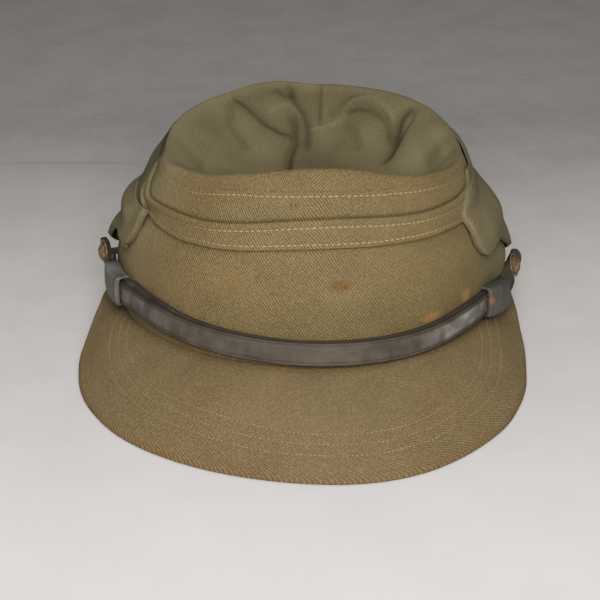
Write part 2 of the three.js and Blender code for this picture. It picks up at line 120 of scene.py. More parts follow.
# Front edges of the two pointed tabs of the curtain, by their section.
TAB_LEFT = {
    "at": (0.44, 0.46, 0.482, 0.584, 0.654, 0.715, 0.747, 0.791, 0.842, 0.877, 0.93, 0.99),
    "turn": (67, 65.5, 64, 62, 61.3, 61.5, 63.5, 66, 71, 73.5, 75, 76),
}
TAB_RIGHT = {
    "at": (0.43, 0.446, 0.470, 0.530, 0.593, 0.690, 0.731, 0.793, 0.841, 0.874, 0.93, 0.99),
    "turn": (59.5, 57.5, 55.8, 53.6, 52.2, 51.2, 51.0, 53, 56.6, 61, 64, 66),
}

# Lower and upper edges of the curtain. back: 0 at the tab's front edge, 1 at the centre back.
CURTAIN = {
    "back": (0.00, 0.04, 0.09, 0.125, 0.20, 0.30, 0.42, 0.50, 0.60, 1.00),
    "low": (0.420, 0.436, 0.460, 0.445, 0.325, 0.20, 0.090, 0.075, 0.075, 0.075),
    "high": (0.960, 0.965, 0.972, 0.975, 0.975, 0.975, 0.965, 0.95, 0.92, 0.860),
    "high_right": (0.940, 0.934, 0.925, 0.919, 0.915, 0.915, 0.910, 0.90, 0.88, 0.860),
}

# Visor: how far its edge stands out from the rim, and the height of its edge off the floor
# where it leaves the floor.
VISOR = {
    "turn": (-88, -85, -79.5, -75, -70, -66, -63, -59, -54.5, -49, -43, -37, -31, -24, -16.5, -8,
             0, 6.5, 13, 20, 27, 34, 40, 46, 53.5, 59, 64.5, 70, 76, 82, 88),
    "reach": (7.6, 8.3, 10, 12.7, 16.7, 20.7, 24.0, 27.2, 30.5, 33.7, 36.1, 38.0, 38.8, 39.2,
              39.6, 40.3, 41.6, 42.9, 43.6, 43.0, 40.9, 38.3, 35.8, 32.1, 27.1, 22.7, 18.8, 14.6,
              11.5, 9.4, 8.0),
}
VISOR_LIFT = {
    "turn": (0, 50, 57, 63, 70, 76, 82, 90),
    "share": (0, 0, 0.02, 0.14, 0.46, 0.76, 0.95, 1.0),
}

# Height of the middle of the chin strap above the rim.
STRAP_LINE = {
    "turn": (-106, -98, -90, -80, -72, -56, -44, -35, -17, 0, 19, 30, 38, 48, 59, 72, 84, 90, 98,
             106),
    "height": (21.0, 19.5, 17.5, 13.4, 12.0, 10.9, 9.6, 8.2, 6.4, 5.2, 4.6, 4.9, 5.8, 7.6, 8.5,
               7.2, 7.6, 9.2, 12.8, 15.6),
}
# Buttons, seen from above: their angle, how far to the sides and how far to the front they are.
BUTTON_TURN = 88.0
BUTTON_SIDES = (-86.0, 90.4)
BUTTON_FRONT = -4.5
STRAP_LEAVE = 58.0
SLIDE_LEFT_TURN = -69.5
SLIDE_RIGHT_TURN = 64.3
STRAP_END = 7.0

# Folds of the sunken top, each as width, depth, lap, dark and its line seen from above, in
# millimetres of the cap's frame. A depth below 0 is a ridge, lap is how far one side is raised
# over the other and dark the painted shade along the fold; below 0 it is painted light on a ridge.
FOLDS = (
    (1.7, 0.8, 0.5, 0.26, ((-35.9, 56), (-35.3, 49.6), (-35.3, 44.6), (-32.8, 41.4), (-29.6, 37.1),
      (-25, 32.5))),
    (2.4, 1.4, -1.3, 0.38, ((-36.5, 56.4), (-30.8, 55.5), (-26.6, 53.7), (-22.6, 51.9),
      (-17.9, 49.1), (-12.5, 46.9), (-8.0, 46.1), (-5.4, 43.6))),
    (1.4, 1.2, 0.5, 0.44, ((-10.5, 71), (-8.0, 67.2), (-5.4, 61.0), (-1.7, 57.2), (0.2, 53.5),
      (1.4, 48.1), (0.8, 42.3), (0.0, 37.0))),
    (1.5, 0.8, 0.0, 0.3, ((-14.5, 66.0), (-13.5, 64.4), (-10.8, 62.5), (-7.2, 63.0),
      (-5.0, 62.0))),
    (1.3, -0.8, 0.0, -0.22, ((-19.0, 53.6), (-14.6, 56.8), (-9.9, 58.8), (-7.0, 59.0),
      (-4.5, 57.4), (-1.7, 54.9), (0.4, 53.6))),
    (2.0, 1.9, 0.9, 0.42, ((-7.6, 58.5), (-7.1, 56.1), (-5.3, 52.3), (-5.4, 46.5), (-5.2, 41.5),
      (-6.9, 36.9), (-8.2, 31.5), (-8.6, 23.3), (-8.6, 16))),
    (0.8, 0.4, 0.0, 0.36, ((6.9, 72.5), (6.8, 68.9), (6.6, 60.7), (6.3, 53.4), (6.3, 51.5))),
    (0.9, -0.4, 0.0, -0.16, ((9.0, 71.5), (8.9, 66.0), (8.5, 58.7), (8.3, 53.4))),
    (1.1, -0.7, 0.0, -0.22, ((0.0, 49.8), (1.3, 50.3), (6.1, 51.1), (13.4, 53.9), (16.3, 54.5),
      (20.2, 60.2), (21.6, 61.6), (23.5, 63.5))),
    (1.1, 0.5, 0.0, 0.18, ((10.0, 55.5), (10.6, 56.5), (15.4, 59.1), (18.3, 62.0), (21.1, 63.4),
      (26, 65))),
    (1.1, -0.7, 0.0, -0.2, ((19.5, 60.0), (23.7, 62.1), (29.4, 61.6), (34.0, 58.5), (37.3, 54.9),
      (39.2, 50.7), (40.7, 45.5), (41.0, 42.5))),
    (1.5, 1.1, -0.6, 0.34, ((16.5, 53.5), (18.2, 55.9), (20.0, 57.9), (24.8, 57.8), (30.2, 55.8),
      (34.6, 52.2), (37.2, 48.2), (38.3, 44.1), (38.6, 38.8), (38.0, 34.0))),
    (2.7, 2.0, 0.6, 0.5, ((50.0, 49.5), (47.8, 47.5), (44.3, 46.7), (42.5, 44.4), (41.4, 40.4),
      (40.1, 34.4), (37.2, 28.9), (33.0, 24.0))),
    (1.6, 0.5, 0.3, 0.18, ((51.5, 46.5), (50.2, 44.4), (48.3, 40.4), (44.7, 37.8), (40.9, 32.7),
      (38, 28))),
    (2.2, 1.0, 0.0, 0.2, ((17.5, 55.0), (18.2, 53.5), (21.7, 47.3), (23.2, 42.1), (23.5, 36))),
)

# Hems of the two tabs, as angle and section: up from the point, round the corner and back.
HEM_LEFT = ((67.5, 0.430), (64.8, 0.47), (62.9, 0.54), (61.8, 0.61), (61.3, 0.688), (61.9, 0.713),
            (66.0, 0.723), (72.8, 0.734), (84.0, 0.752), (96.0, 0.765))
HEM_RIGHT = ((59.5, 0.430), (55.8, 0.47), (53.3, 0.54), (52.0, 0.61), (51.1, 0.70), (51.1, 0.735),
             (53.2, 0.79), (56.8, 0.844), (60.8, 0.866), (70.0, 0.89))


def column(table, name, place):
    """Value of a table's column at places in its first column, along a smooth curve."""
    xs, ys = (np.asarray(table[key], float) for key in (next(iter(table)), name))
    place = np.clip(place, xs[0], xs[-1])
    slopes = np.empty_like(ys)
    slopes[1:-1] = (ys[2:] - ys[:-2]) / (xs[2:] - xs[:-2])
    slopes[0] = (ys[1] - ys[0]) / (xs[1] - xs[0])
    slopes[-1] = (ys[-1] - ys[-2]) / (xs[-1] - xs[-2])
    i = np.clip(np.searchsorted(xs, place, side="right") - 1, 0, len(xs) - 2)
    step = xs[i + 1] - xs[i]
    ways = step * slopes[i], step * slopes[i + 1]
    return curve((place - xs[i]) / step, ys[i], ys[i + 1], *ways)


def smooth(x, low, high):
    """0 below low, 1 above high and a soft rise between."""
    t = np.clip((x - low) / (high - low), 0, 1)
    return t * t * (3 - 2 * t)


def between(x, low, full, fade, end):
    """1 from full to fade, 0 below low and above end, and soft between."""
    return smooth(x, low, full) * (1 - smooth(x, fade, end))


def bell(x, width):
    """1 at 0, falling softly to nothing a few widths away."""
    return np.exp(-((x / width) ** 2))


def curve(t, start, stop, start_way, stop_way):
    """Smooth curve from start to stop with the ways that it leaves and arrives in."""
    s = 1 - t
    ends = (1 + 2 * t) * s * s * start + t * t * (3 - 2 * t) * stop
    return ends + t * s * s * start_way - t * t * s * stop_way


def degrees_round(angle):
    """Angle in degrees between -180 and 180."""
    return np.degrees(np.arctan2(np.sin(angle), np.cos(angle)))


def unit(vectors):
    """The same directions with length 1."""
    return vectors / np.maximum(np.linalg.norm(vectors, axis=-1, keepdims=True), 1e-12)


def ripple(points, wavelength, seed):
    """Smooth noise, mostly between -1 and 1, at points in millimetres."""
    rng = np.random.default_rng(seed)
    total = np.zeros(points.shape[:-1])
    for _ in range(12):
        way = unit(rng.normal(size=3))
        length = wavelength * rng.uniform(0.7, 1.6)
        total += np.sin(points @ way * 2 * np.pi / length + rng.uniform(0, 2 * np.pi))
    return total / 4.0


def floor_height(y):
    """Height of the floor in the cap's tipped frame."""
    return (y - (HALF_LENGTH - REAR_FLAT)) * np.tan(REST_TILT)


def place(points):
    """Points of the cap's frame, in millimetres, to the row frame in metres."""
    x, y, z = points[..., 0], points[..., 1], points[..., 2]
    c, s = np.cos(REST_TILT), np.sin(REST_TILT)
    turned = np.stack([x, y * c + z * s, z * c - y * s], -1)
    return (turned + np.array(CAP_ORIGIN)) * MM


def size(name):
    """A size of the cap, in millimetres."""
    return getattr(bpy.context.scene.kepi_sizes, name) / MM


def crest_height(angle):
    """Height of the crest above the rim."""
    return column(CREST, "height", degrees_round(angle))


def crown(angle, at):
    """Points of the smooth crown's outer face."""
    angle, at = np.broadcast_arrays(np.asarray(angle, float), np.asarray(at, float))
    half_width, half_length = size("rim_width") / 2, size("rim_length") / 2
    side, facing = np.sin(angle), np.cos(angle)
    power = 2 / column(SECTIONS, "square", at)
    front = column(SECTIONS, "front", at)
    half = np.where(facing > 0, front, column(SECTIONS, "back", at))
    x = column(SECTIONS, "wide", at) * half_width * np.sign(side) * np.abs(side) ** power
    turn = degrees_round(angle)
    lean_in = 2.4 * smooth(at, 0.72, 0.95) * bell(np.abs(turn) - 98, 34)
    right_dip = 4.2 * bell(at - 0.76, 0.10) * bell(turn - 82, 22)
    back_top = between(at, 0.72, 0.84, 1.08, 1.25)
    waist = between(at, 0.34, 0.50, 0.70, 0.82)
    left_dip = 5.4 * waist * bell(turn + 109, 18) - 2.5 * back_top * bell(turn + 106, 24)
    left_dip = left_dip + 1.8 * waist * bell(turn - 112, 18)
    fuller = np.where(side < 0, 4.0, 1.4) * bell(np.abs(turn) - 64, 14)
    fuller = fuller * between(at, 0.70, 0.80, 1.02, 1.32)
    rolled = 1.0 * bell(turn + 104, 30) * between(at, 0.91, 0.99, 1.12, 1.35)
    lean_in = lean_in + right_dip + left_dip - fuller - rolled
    x = x + CREST_LEAN * smooth(at, 0, 1) - np.sign(side) * lean_in * (1 - smooth(at, 1.1, 1.4))
    swell = np.where(side < 0, 1.5, 3.9) * bell(np.abs(turn) - 86, 15)
    swell = swell * (1 - smooth(at, 0.24, 0.48))
    x = x + np.sign(side) * swell * smooth(at, 0.0, 0.08)
    y = -half * half_length * np.sign(facing) * np.abs(facing) ** power
    z = crest_height(angle) * column(SECTIONS, "rise", at)
    return np.stack([x, y, z], -1)


def crown_normal(angle, at):
    """Outward directions of the smooth crown."""
    near = 0.01
    low, high = np.maximum(at - near, 0), np.minimum(at + near, 1.995)
    across = crown(angle + near, at) - crown(angle - near, at)
    up = crown(angle, high) - crown(angle, low)
    return unit(np.cross(across, up))


def seam_at(angle):
    """Section of the seam round the top panel."""
    return column(TIP_SEAM, "at", degrees_round(angle))


def beside_line(spots, line):
    """Distance from a line of points, the same with a sign for the side, and the share of the
    line passed, for spots in a plane."""
    best = np.full(spots.shape[:-1], 1e9)
    side = np.zeros_like(best)
    along = np.zeros_like(best)
    lengths = np.linalg.norm(np.diff(line, axis=0), axis=1)
    starts = np.concatenate([[0], np.cumsum(lengths)])
    for k in range(len(line) - 1):
        way = line[k + 1] - line[k]
        t = np.clip(((spots - line[k]) @ way) / (way @ way), 0, 1)
        off = spots - line[k] - t[..., None] * way
        distance = np.linalg.norm(off, axis=-1)
        turn = way[0] * off[..., 1] - way[1] * off[..., 0]
        closer = distance < best
        best[closer] = distance[closer]
        side[closer] = (np.sign(turn) * distance)[closer]
        along[closer] = ((starts[k] + t * lengths[k]) / starts[-1])[closer]
    return best, side, along


def fold_relief(points):
    """Relief of the folds of the sunken top, in millimetres, and the painted shade along them,
    at points seen from above."""
    flat = points[..., :2]
    relief = np.zeros(flat.shape[:-1])
    # light: painted shade along the folds and painted light on the ridges, a factor on the colour.
    light = np.ones_like(relief)
    for width, depth, lap, dark, line in FOLDS:
        line = np.array(line, float)
        reach = 4 * width + 8
        low, high = line.min(0) - reach, line.max(0) + reach
        near = np.all((flat > low) & (flat < high), axis=-1)
        if not near.any():
            continue
        best, side, along = beside_line(flat[near], line)
        fade = between(along, -0.02, 0.16, 0.80, 1.02)
        valley = -depth * bell(best, width)
        step = lap * np.tanh(side / (0.8 * width)) * np.exp(-np.abs(side) / (3 * width))
        relief[near] += fade * (valley + step)
        painted_shade_profile = 0.6 * bell(best, 0.8 * width) + 0.4 * bell(best, 2.4 * width)
        light[near] *= 1 - fade * dark * painted_shade_profile
    return relief, light


def pillow_relief(points):
    """Soft swellings of the top between its folds, in millimetres."""
    x, y = points[..., 0], points[..., 1]
    # Each one: its height, its middle and width across, its middle and length from front to back.
    swellings = ((2.2, 27.5, 9.5, 47.5, 8.5), (1.6, -22, 10, 41, 7), (1.0, -19, 8, 60, 5),
                 (-1.4, 9, 7, 44, 9))
    return sum(rise * bell(x - across, wide) * bell(y - back, long)
               for rise, across, wide, back, long in swellings)


def front_share(angle):
    """1 over the front of the cap, where the seam shows, and 0 behind."""
    return 1 - smooth(np.abs(degrees_round(angle)), 66, 76)


def crown_relief(angle, at, points):
    """How far the cloth of the crown stands off its smooth form, in millimetres."""
    high = crest_height(angle)
    from_seam = (at - seam_at(angle)) * high
    relief = 0.45 * ripple(points, 55, 3) + 0.16 * ripple(points, 21, 5)
    seam = -0.10 * bell(from_seam, 0.5) + 0.08 * bell(from_seam + 0.9, 0.6)
    seam = seam - 0.16 * bell(from_seam + 1.8, 0.45)
    relief = relief + seam * front_share(angle)
    sunken = smooth(at, 0.99, 1.08)
    folds = fold_relief(points)[0] + pillow_relief(points) + 0.3 * ripple(points, 26, 8)
    return relief * smooth(at, 0.0, 0.12) + sunken * folds


def crown_cloth(angle, at, inside=0.0):
    """Points of the crown's cloth with its relief, a depth inside its outer face."""
    base = crown(angle, at)
    normal = crown_normal(angle, at)
    lift = crown_relief(angle, at, base) - inside
    points = base + normal * lift[..., None]
    lowest = np.maximum(floor_height(points[..., 1]), 0)
    points[..., 2] += lowest * np.clip(1 - points[..., 2] / 22, 0, 1)
    return points


def off_crown(angle, at, distance):
    """Points off the crown's outer face, as pieces that lie on it are."""
    base = crown(angle, at)
    return base + crown_normal(angle, at) * np.asarray(distance)[..., None]


def off_wall(angle, at, distance):
    """Points off the wall, which go straight on above it, as the curtain does."""
    below, top = 0.84, 0.90
    held = np.minimum(at, top)
    base = crown(angle, held)
    up = crown(angle, np.full_like(at, top)) - crown(angle, np.full_like(at, below))
    up = up / (top - below)
    base = base + up * (at - held)[..., None]
    return base + crown_normal(angle, held) * np.asarray(distance)[..., None]


def put(name, data):
    """A new object of the scene with this data."""
    made = bpy.data.objects.new(name, data)
    bpy.context.scene.collection.objects.link(made)
    return made


def aim_at(lamp, spot, aim):
    """Puts a light or a camera at a spot and turns it to an aim."""
    lamp.location = spot
    lamp.rotation_euler = (Vector(aim) - Vector(spot)).to_track_quat("-Z", "Y").to_euler()


def add_mesh(name, corners, polygons):
    """A new smooth mesh from corners of the row frame."""
    mesh = bpy.data.meshes.new(name)
    mesh.from_pydata(corners, [], polygons)
    mesh.shade_smooth()
    return mesh


def note(mesh, name, values, kind="FLOAT", entry="value"):
    """Stores values for each point of a mesh."""
    attribute = mesh.attributes.new(name, kind, "POINT")
    attribute.data.foreach_set(entry, values.astype(np.float32).ravel())


def closed(grid):
    """A grid with its first column once more at the end."""
    return np.concatenate([grid, grid[:, :1]], 1)


def quads(grid, flip=False, shift=0):
    """Faces between the neighbours of a grid of corner numbers."""
    a, b, c, d = grid[:-1, :-1], grid[:-1, 1:], grid[1:, 1:], grid[1:, :-1]
    order = (a, d, c, b) if flip else (a, b, c, d)
    return np.stack([o.ravel() for o in order], 1) + shift


def spread(*spans):
    """Places along spans of (start, stop, steps), each span with its own spacing."""
    parts = [np.linspace(*span, endpoint=span is spans[-1]) for span in spans]
    return np.concatenate(parts)


def shell(name, outer, inner, weave, fields, around=False, pole=False, sharp=50):
    """Closed piece between two grids of points, rows by columns, in the cap's frame.
    weave holds the cloth's own coordinates in millimetres; fields are values for each point."""
    rows, cols = outer.shape[:2]
    grid = np.arange(rows * cols).reshape(rows, cols)
    wide = closed(grid) if around else grid
    spots = np.arange(wide.size).reshape(wide.shape)
    count = rows * cols
    faces = [quads(wide), quads(wide, True, count)]
    marks = [quads(spots), quads(spots, True)]
    rims = [(0, slice(None), 1, count)]
    if not pole:
        rims.append((-1, slice(None), 1, 0))
    if not around:
        rims += [(slice(None), 0, -1, count), (slice(None), -1, 1, count)]
    for row, col, way, shift in rims:
        edge, spot = wide[row, col][::way], spots[row, col][::way]
        near, far = edge + shift, edge + count - shift
        faces.append(np.stack([near[:-1], near[1:], far[1:], far[:-1]], 1))
        marks.append(np.stack([spot[:-1], spot[1:], spot[1:], spot[:-1]], 1))
    faces, marks = np.concatenate(faces), np.concatenate(marks)
    corners = np.concatenate([outer.reshape(-1, 3), inner.reshape(-1, 3)])
    if pole:
        corners = np.concatenate([corners, [outer[-1].mean(0), inner[-1].mean(0)]])
    polygons = faces.tolist()
    uvs = weave.reshape(-1, 2)[marks.ravel()]
    if pole:
        top, last = wide[-1], weave[-1]
        extra = []
        for one, two, shift in ((0, 1, 0), (1, 0, 1)):
            for k in range(cols):
                polygons.append((*(top[[k + one, k + two]] + shift * count).tolist(),
                                 2 * count + shift))
                extra += [last[k + one], last[k + two], last.mean(0)]
        uvs = np.concatenate([uvs, extra])
    mesh = add_mesh(name, place(corners).tolist(), polygons)
    layer = mesh.uv_layers.new(name="weave")
    layer.data.foreach_set("uv", (uvs / 100).astype(np.float32).ravel())
    for field, values in fields.items():
        flat = np.tile(values.ravel(), 2)
        if pole:
            flat = np.append(flat, [values[-1].mean()] * 2)
        note(mesh, field, flat)
    mesh.set_sharp_from_angle(angle=np.radians(sharp))
    mesh.validate()
    return put(name, mesh)


def settle(piece, slot, *nodes, finish=None):
    """Gives a piece its material, its body and the CAD nodes that it stands for. The slot is not
    used.
    """
    if finish:
        piece.data.materials.append(finish)
    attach(piece, "root")
    if nodes:
        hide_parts(*nodes)


# ---------------------------------------------------------------- materials


def add_node(tree, kind, inputs=None, **settings):
    """A new node of a tree, with its settings and with a value or a link on each named input."""
    made = tree.nodes.new(kind)
    for key, value in settings.items():
        setattr(made, key, value)
    for key, value in (inputs or {}).items():
        if isinstance(value, bpy.types.NodeSocket):
            tree.links.new(value, made.inputs[key])
        else:
            made.inputs[key].default_value = value
    return made


class Finish:
    """A new material and short ways to add nodes to it."""

    def __init__(self, name, roughness, metallic=0.0, shine=0.5):
        self.material = bpy.data.materials.new(name)
        self.material.use_nodes = True
        self.tree = self.material.node_tree
        self.shader = self.tree.nodes["Principled BSDF"]
        for key, value in (("Roughness", roughness), ("Metallic", metallic),
                           ("Specular IOR Level", shine)):
            self.shader.inputs[key].default_value = value
        self.sources = {}

    def node(self, kind, inputs=None, **settings):
        """A new node of this material."""
        return add_node(self.tree, kind, inputs, **settings)

    def value(self, operation, *terms):
        """Result of a calculation with one to three terms."""
        inputs = dict(enumerate(terms))
        return self.node("ShaderNodeMath", inputs, operation=operation).outputs[0]

    def source(self, kind, output, **settings):
        """Output of a node that is made once and shared."""
        if kind not in self.sources:
            self.sources[kind] = self.node(kind, **settings).outputs[output]
        return self.sources[kind]

    @property
    def object(self):
        return self.source("ShaderNodeTexCoord", "Object")

    @property
    def weave(self):
        return self.source("ShaderNodeUVMap", "UV", uv_map="weave")

    def plus(self, one, two):
        return self.value("ADD", one, two)

    def times(self, one, two):
        return self.value("MULTIPLY", one, two)

    def scaled(self, term, factor, more):
        """term * factor + more."""
        return self.value("MULTIPLY_ADD", term, factor, more)

    def mixed(self, share, one, two, blend="MIX"):
        """Colour between two colours."""
        inputs = {0: share, 6: one, 7: two}
        for index in (6, 7):
            if not isinstance(inputs[index], bpy.types.NodeSocket):
                inputs[index] = (*inputs[index], 1.0)
        made = self.node("ShaderNodeMix", inputs, data_type="RGBA", blend_type=blend)
        return made.outputs[2]

    def ramp(self, source, low, high, bottom=0.0, top=1.0):
        """Soft change from bottom to top between low and high."""
        inputs = {"Value": source, "From Min": low, "From Max": high, "To Min": bottom,
                  "To Max": top}
        return self.node("ShaderNodeMapRange", inputs,
                         interpolation_type="SMOOTHSTEP").outputs[0]

    def noise(self, scale, detail=2.0, roughness=0.5, vector=None):
        """Soft noise between 0 and 1."""
        inputs = {"Vector": vector or self.object, "Scale": scale, "Detail": detail,
                  "Roughness": roughness}
        return self.node("ShaderNodeTexNoise", inputs).outputs["Fac"]

    def field(self, name):
        """Value that the mesh holds for each point."""
        return self.node("ShaderNodeAttribute", attribute_name=name).outputs["Fac"]

    def spot(self, point, across, aspect=(1.0, 1.0, 1.0)):
        """1 at a point of the row frame, 0 beyond its radius in metres."""
        scale = [1 / (across * a) for a in aspect]
        inputs = {"Vector": self.object, "Scale": scale,
                  "Location": [-p * s for p, s in zip(point, scale)]}
        mapping = self.node("ShaderNodeMapping", inputs)
        length = self.node("ShaderNodeVectorMath", {0: mapping.outputs[0]}, operation="LENGTH")
        return self.ramp(length.outputs["Value"], 0.35, 1.0, 1.0, 0.0)

    def spotted(self, colour, spots):
        """A colour with spots: point, radius, aspect, tint and share."""
        for point, radius, aspect, tint, share in spots:
            mask = self.times(self.spot(point, radius, aspect), share)
            colour = self.mixed(mask, colour, tint)
        return colour

    def bump(self, height, distance, strength):
        """Normal of a surface with this relief."""
        inputs = {"Height": height, "Distance": distance, "Strength": strength}
        return self.node("ShaderNodeBump", inputs).outputs["Normal"]

    def close(self, colour, normal=None, roughness=None):
        for source, key in ((colour, "Base Color"), (normal, "Normal"), (roughness, "Roughness")):
            if source is not None:
                self.tree.links.new(source, self.shader.inputs[key])
        return self.material


def twill(name, colour, contrast, slant=(0.77, 0.64), pitch=0.98, spots=()):
    """Cotton twill: slanting ribs, crossing threads, faded, warmer places and painted shade."""
    finish = Finish(name, roughness=0.95, shine=0.12)
    base = np.array(colour)
    split = finish.node("ShaderNodeSeparateXYZ", {"Vector": finish.weave})
    x, y = split.outputs["X"], split.outputs["Y"]
    wander = finish.times(finish.noise(22, vector=finish.weave), 1.2)

    def phase(across, up):
        moved = finish.plus(finish.times(x, 100.0 * across / pitch),
                            finish.times(y, 100.0 * up / pitch))
        return finish.plus(moved, wander)

    def wave(turn):
        return finish.scaled(finish.value("SINE", finish.times(turn, 6.2832)), 0.5, 0.5)

    ribs = phase(*slant)
    shifted = finish.times(finish.value("FLOOR", ribs), 0.5)
    threads = finish.plus(phase(-0.85 * slant[1], 0.85 * slant[0]), shifted)
    dashed = finish.times(wave(ribs), finish.scaled(wave(threads), 0.45, 0.55))
    thread = finish.noise(1050, 2.0, 0.7)
    grain = finish.ramp(thread, 0.36, 0.64)
    cloud = finish.noise(38, 3.0, 0.55)
    broad = finish.noise(9, 2.0, 0.5)
    strength = finish.times(finish.field("twill"), contrast)
    speckle = finish.mixed(grain, base * 0.79, base * 1.22)
    tones = finish.mixed(dashed, (0.50, 0.50, 0.48), (1.62, 1.62, 1.62))
    plain = finish.mixed(strength, (1.0, 1.0, 1.0), tones)
    body = finish.mixed(1.0, speckle, plain, "MULTIPLY")
    faded = finish.mixed(finish.ramp(cloud, 0.30, 0.75), base * 0.90, base * 1.10)
    body = finish.mixed(0.15, body, faded)
    greener = finish.mixed(finish.ramp(broad, 0.35, 0.70, 0.0, 0.12), body, (0.062, 0.060, 0.024))
    green = np.array(bpy.context.scene.kepi_colours.top_cloth)
    greener = finish.mixed(finish.field("deep"), greener,
                           finish.mixed(grain, green * 0.92, green * 1.08))
    warm = finish.mixed(finish.times(finish.field("warm"), 0.5), greener,
                        (0.13, 0.062, 0.020))
    # Scales the colour by the mesh's painted shade and light.
    inputs = {0: warm, "Scale": finish.field("tone_and_painted_shade")}
    with_painted_shade = finish.node("ShaderNodeVectorMath", inputs, operation="SCALE")
    rough = finish.scaled(finish.field("deep"), -0.42, 0.5)
    height = finish.plus(finish.times(dashed, strength), finish.times(grain, rough))
    return finish.close(finish.spotted(with_painted_shade.outputs[0], spots), finish.bump(height, 0.00025, 0.9))


def thread_finish(name, colour, cloth=None):
    """Sewing thread with a faint twist, sunk into the cloth towards the two sides."""
    finish = Finish(name, roughness=0.8, shine=0.2)
    twist = finish.noise(900, 1.0)
    body = finish.mixed(finish.ramp(twist, 0.3, 0.7), np.array(colour) * 0.72, np.array(colour))
    if cloth is not None:
        split = finish.node("ShaderNodeSeparateXYZ", {"Vector": finish.object})
        beside = finish.value("ABSOLUTE", finish.value("SUBTRACT", split.outputs["X"], 0.004))
        body = finish.mixed(finish.ramp(beside, 0.030, 0.058, 0.0, 0.88), body, cloth)
    return finish.close(body, finish.bump(twist, 0.0001, 0.5))


def leather(name, colour, worn, roughness=0.66, spots=()):
    """Old strap leather: grain, dark creases, rubbed edges and scuffs with a painted highlight."""
    finish = Finish(name, roughness=roughness, shine=0.12)
    base = np.array(colour)
    fine = finish.noise(1500, 3.0, 0.6)
    cloud = finish.noise(120, 3.0, 0.6)
    streak_place = finish.node("ShaderNodeMapping", {"Vector": finish.weave, "Scale": (6, 60, 1)})
    streak = finish.noise(2.2, 3.0, 0.6, streak_place.outputs[0])
    body = finish.mixed(finish.ramp(cloud, 0.3, 0.75), base * 0.72, base * 1.28)
    body = finish.mixed(finish.ramp(streak, 0.50, 0.78, 0.0, 0.35), body, np.array(worn) * 0.9)
    edge = finish.times(finish.field("edge"), finish.ramp(fine, 0.35, 0.7, 0.35, 1.0))
    body = finish.mixed(edge, body, worn)
    # Mottled grey scuffs that also paint a highlight on the strap.
    scuff_and_highlight_mask = finish.times(finish.field("scuff_and_highlight"), finish.ramp(cloud, 0.40, 0.62, 0.35, 1.0))
    body = finish.mixed(scuff_and_highlight_mask, body, (0.120, 0.118, 0.110))
    body = finish.mixed(finish.field("crease"), body, base * 0.30)
    body = finish.spotted(body, spots)
    height = finish.plus(fine, finish.times(cloud, 1.4))
    rough = finish.ramp(cloud, 0.3, 0.7, roughness - 0.10, roughness + 0.15)
    return finish.close(body, finish.bump(height, 0.00010, 0.7), rough)


def brass_finish(name, colour, dull):
    """Old brass, bright where it is rubbed and brown in the low places."""
    finish = Finish(name, roughness=0.5, metallic=0.7, shine=0.3)
    cloud = finish.noise(420, 4.0, 0.65)
    pits = finish.noise(1700, 2.0, 0.6)
    body = finish.mixed(finish.ramp(cloud, 0.42, 0.66), dull, colour)
    body = finish.mixed(finish.field("crease"), body, np.array(dull) * 0.35)
    rough = finish.ramp(cloud, 0.35, 0.65, 0.62, 0.34)
    return finish.close(body, finish.bump(pits, 0.00012, 0.6), rough)


def floor_finish(name, colour):
    """Pale cloth, with painted shade that darkens it with the distance and along rumples and a
    crease.
    """
    finish = Finish(name, roughness=0.95, shine=0.2)
    split = finish.node("ShaderNodeSeparateXYZ", {"Vector": finish.object})
    # Painted shade: the floor's colour darkens and turns greyer with the distance.
    soft = finish.noise(7, 3.0, 0.5)
    depth = finish.plus(split.outputs["Y"], finish.scaled(soft, 0.05, -0.025))
    share = finish.value("DIVIDE", finish.plus(depth, 0.20), 0.70)
    painted_shade_profile = finish.node("ShaderNodeValToRGB", {"Fac": share})
    stops = ((0.014, 1.0), (0.06, 0.90), (0.129, 0.700), (0.21, 0.52), (0.311, 0.418),
             (0.40, 0.328), (0.47, 0.261), (0.549, 0.186), (0.639, 0.151), (0.74, 0.163),
             (1.0, 0.161))
    marks = painted_shade_profile.color_ramp.elements
    marks[0].position, marks[1].position = stops[0][0], stops[1][0]
    for at, _ in stops[2:]:
        marks.new(at)
    for mark, (at, level) in zip(marks, stops):
        far = min(max((at - 0.2) / 0.4, 0.0), 1.0)
        mark.color = (level, level * (0.995 + 0.035 * far), level * (0.985 + 0.06 * far), 1.0)
    body = finish.mixed(1.0, colour, painted_shade_profile.outputs["Color"], "MULTIPLY")
    fine = finish.noise(260, 3.0, 0.6)
    body = finish.mixed(finish.ramp(fine, 0.3, 0.7, 0.0, 0.05), body, (0.4, 0.39, 0.37))
    # Painted shade of faint rumples.
    rumple_shade = finish.noise(28, 4.0, 0.65)
    body = finish.mixed(finish.ramp(rumple_shade, 0.35, 0.68), body, (0.91, 0.91, 0.91), "MULTIPLY")
    # Painted shadow line for one crease in the floor cloth.
    crease = finish.spot((-0.135, 0.187, 0.0), 0.055, (1.0, 0.07, 1.0))
    body = finish.mixed(finish.times(crease, 0.30), body, (0.10, 0.10, 0.095))
    return finish.close(body)


# ---------------------------------------------------------------- stitches


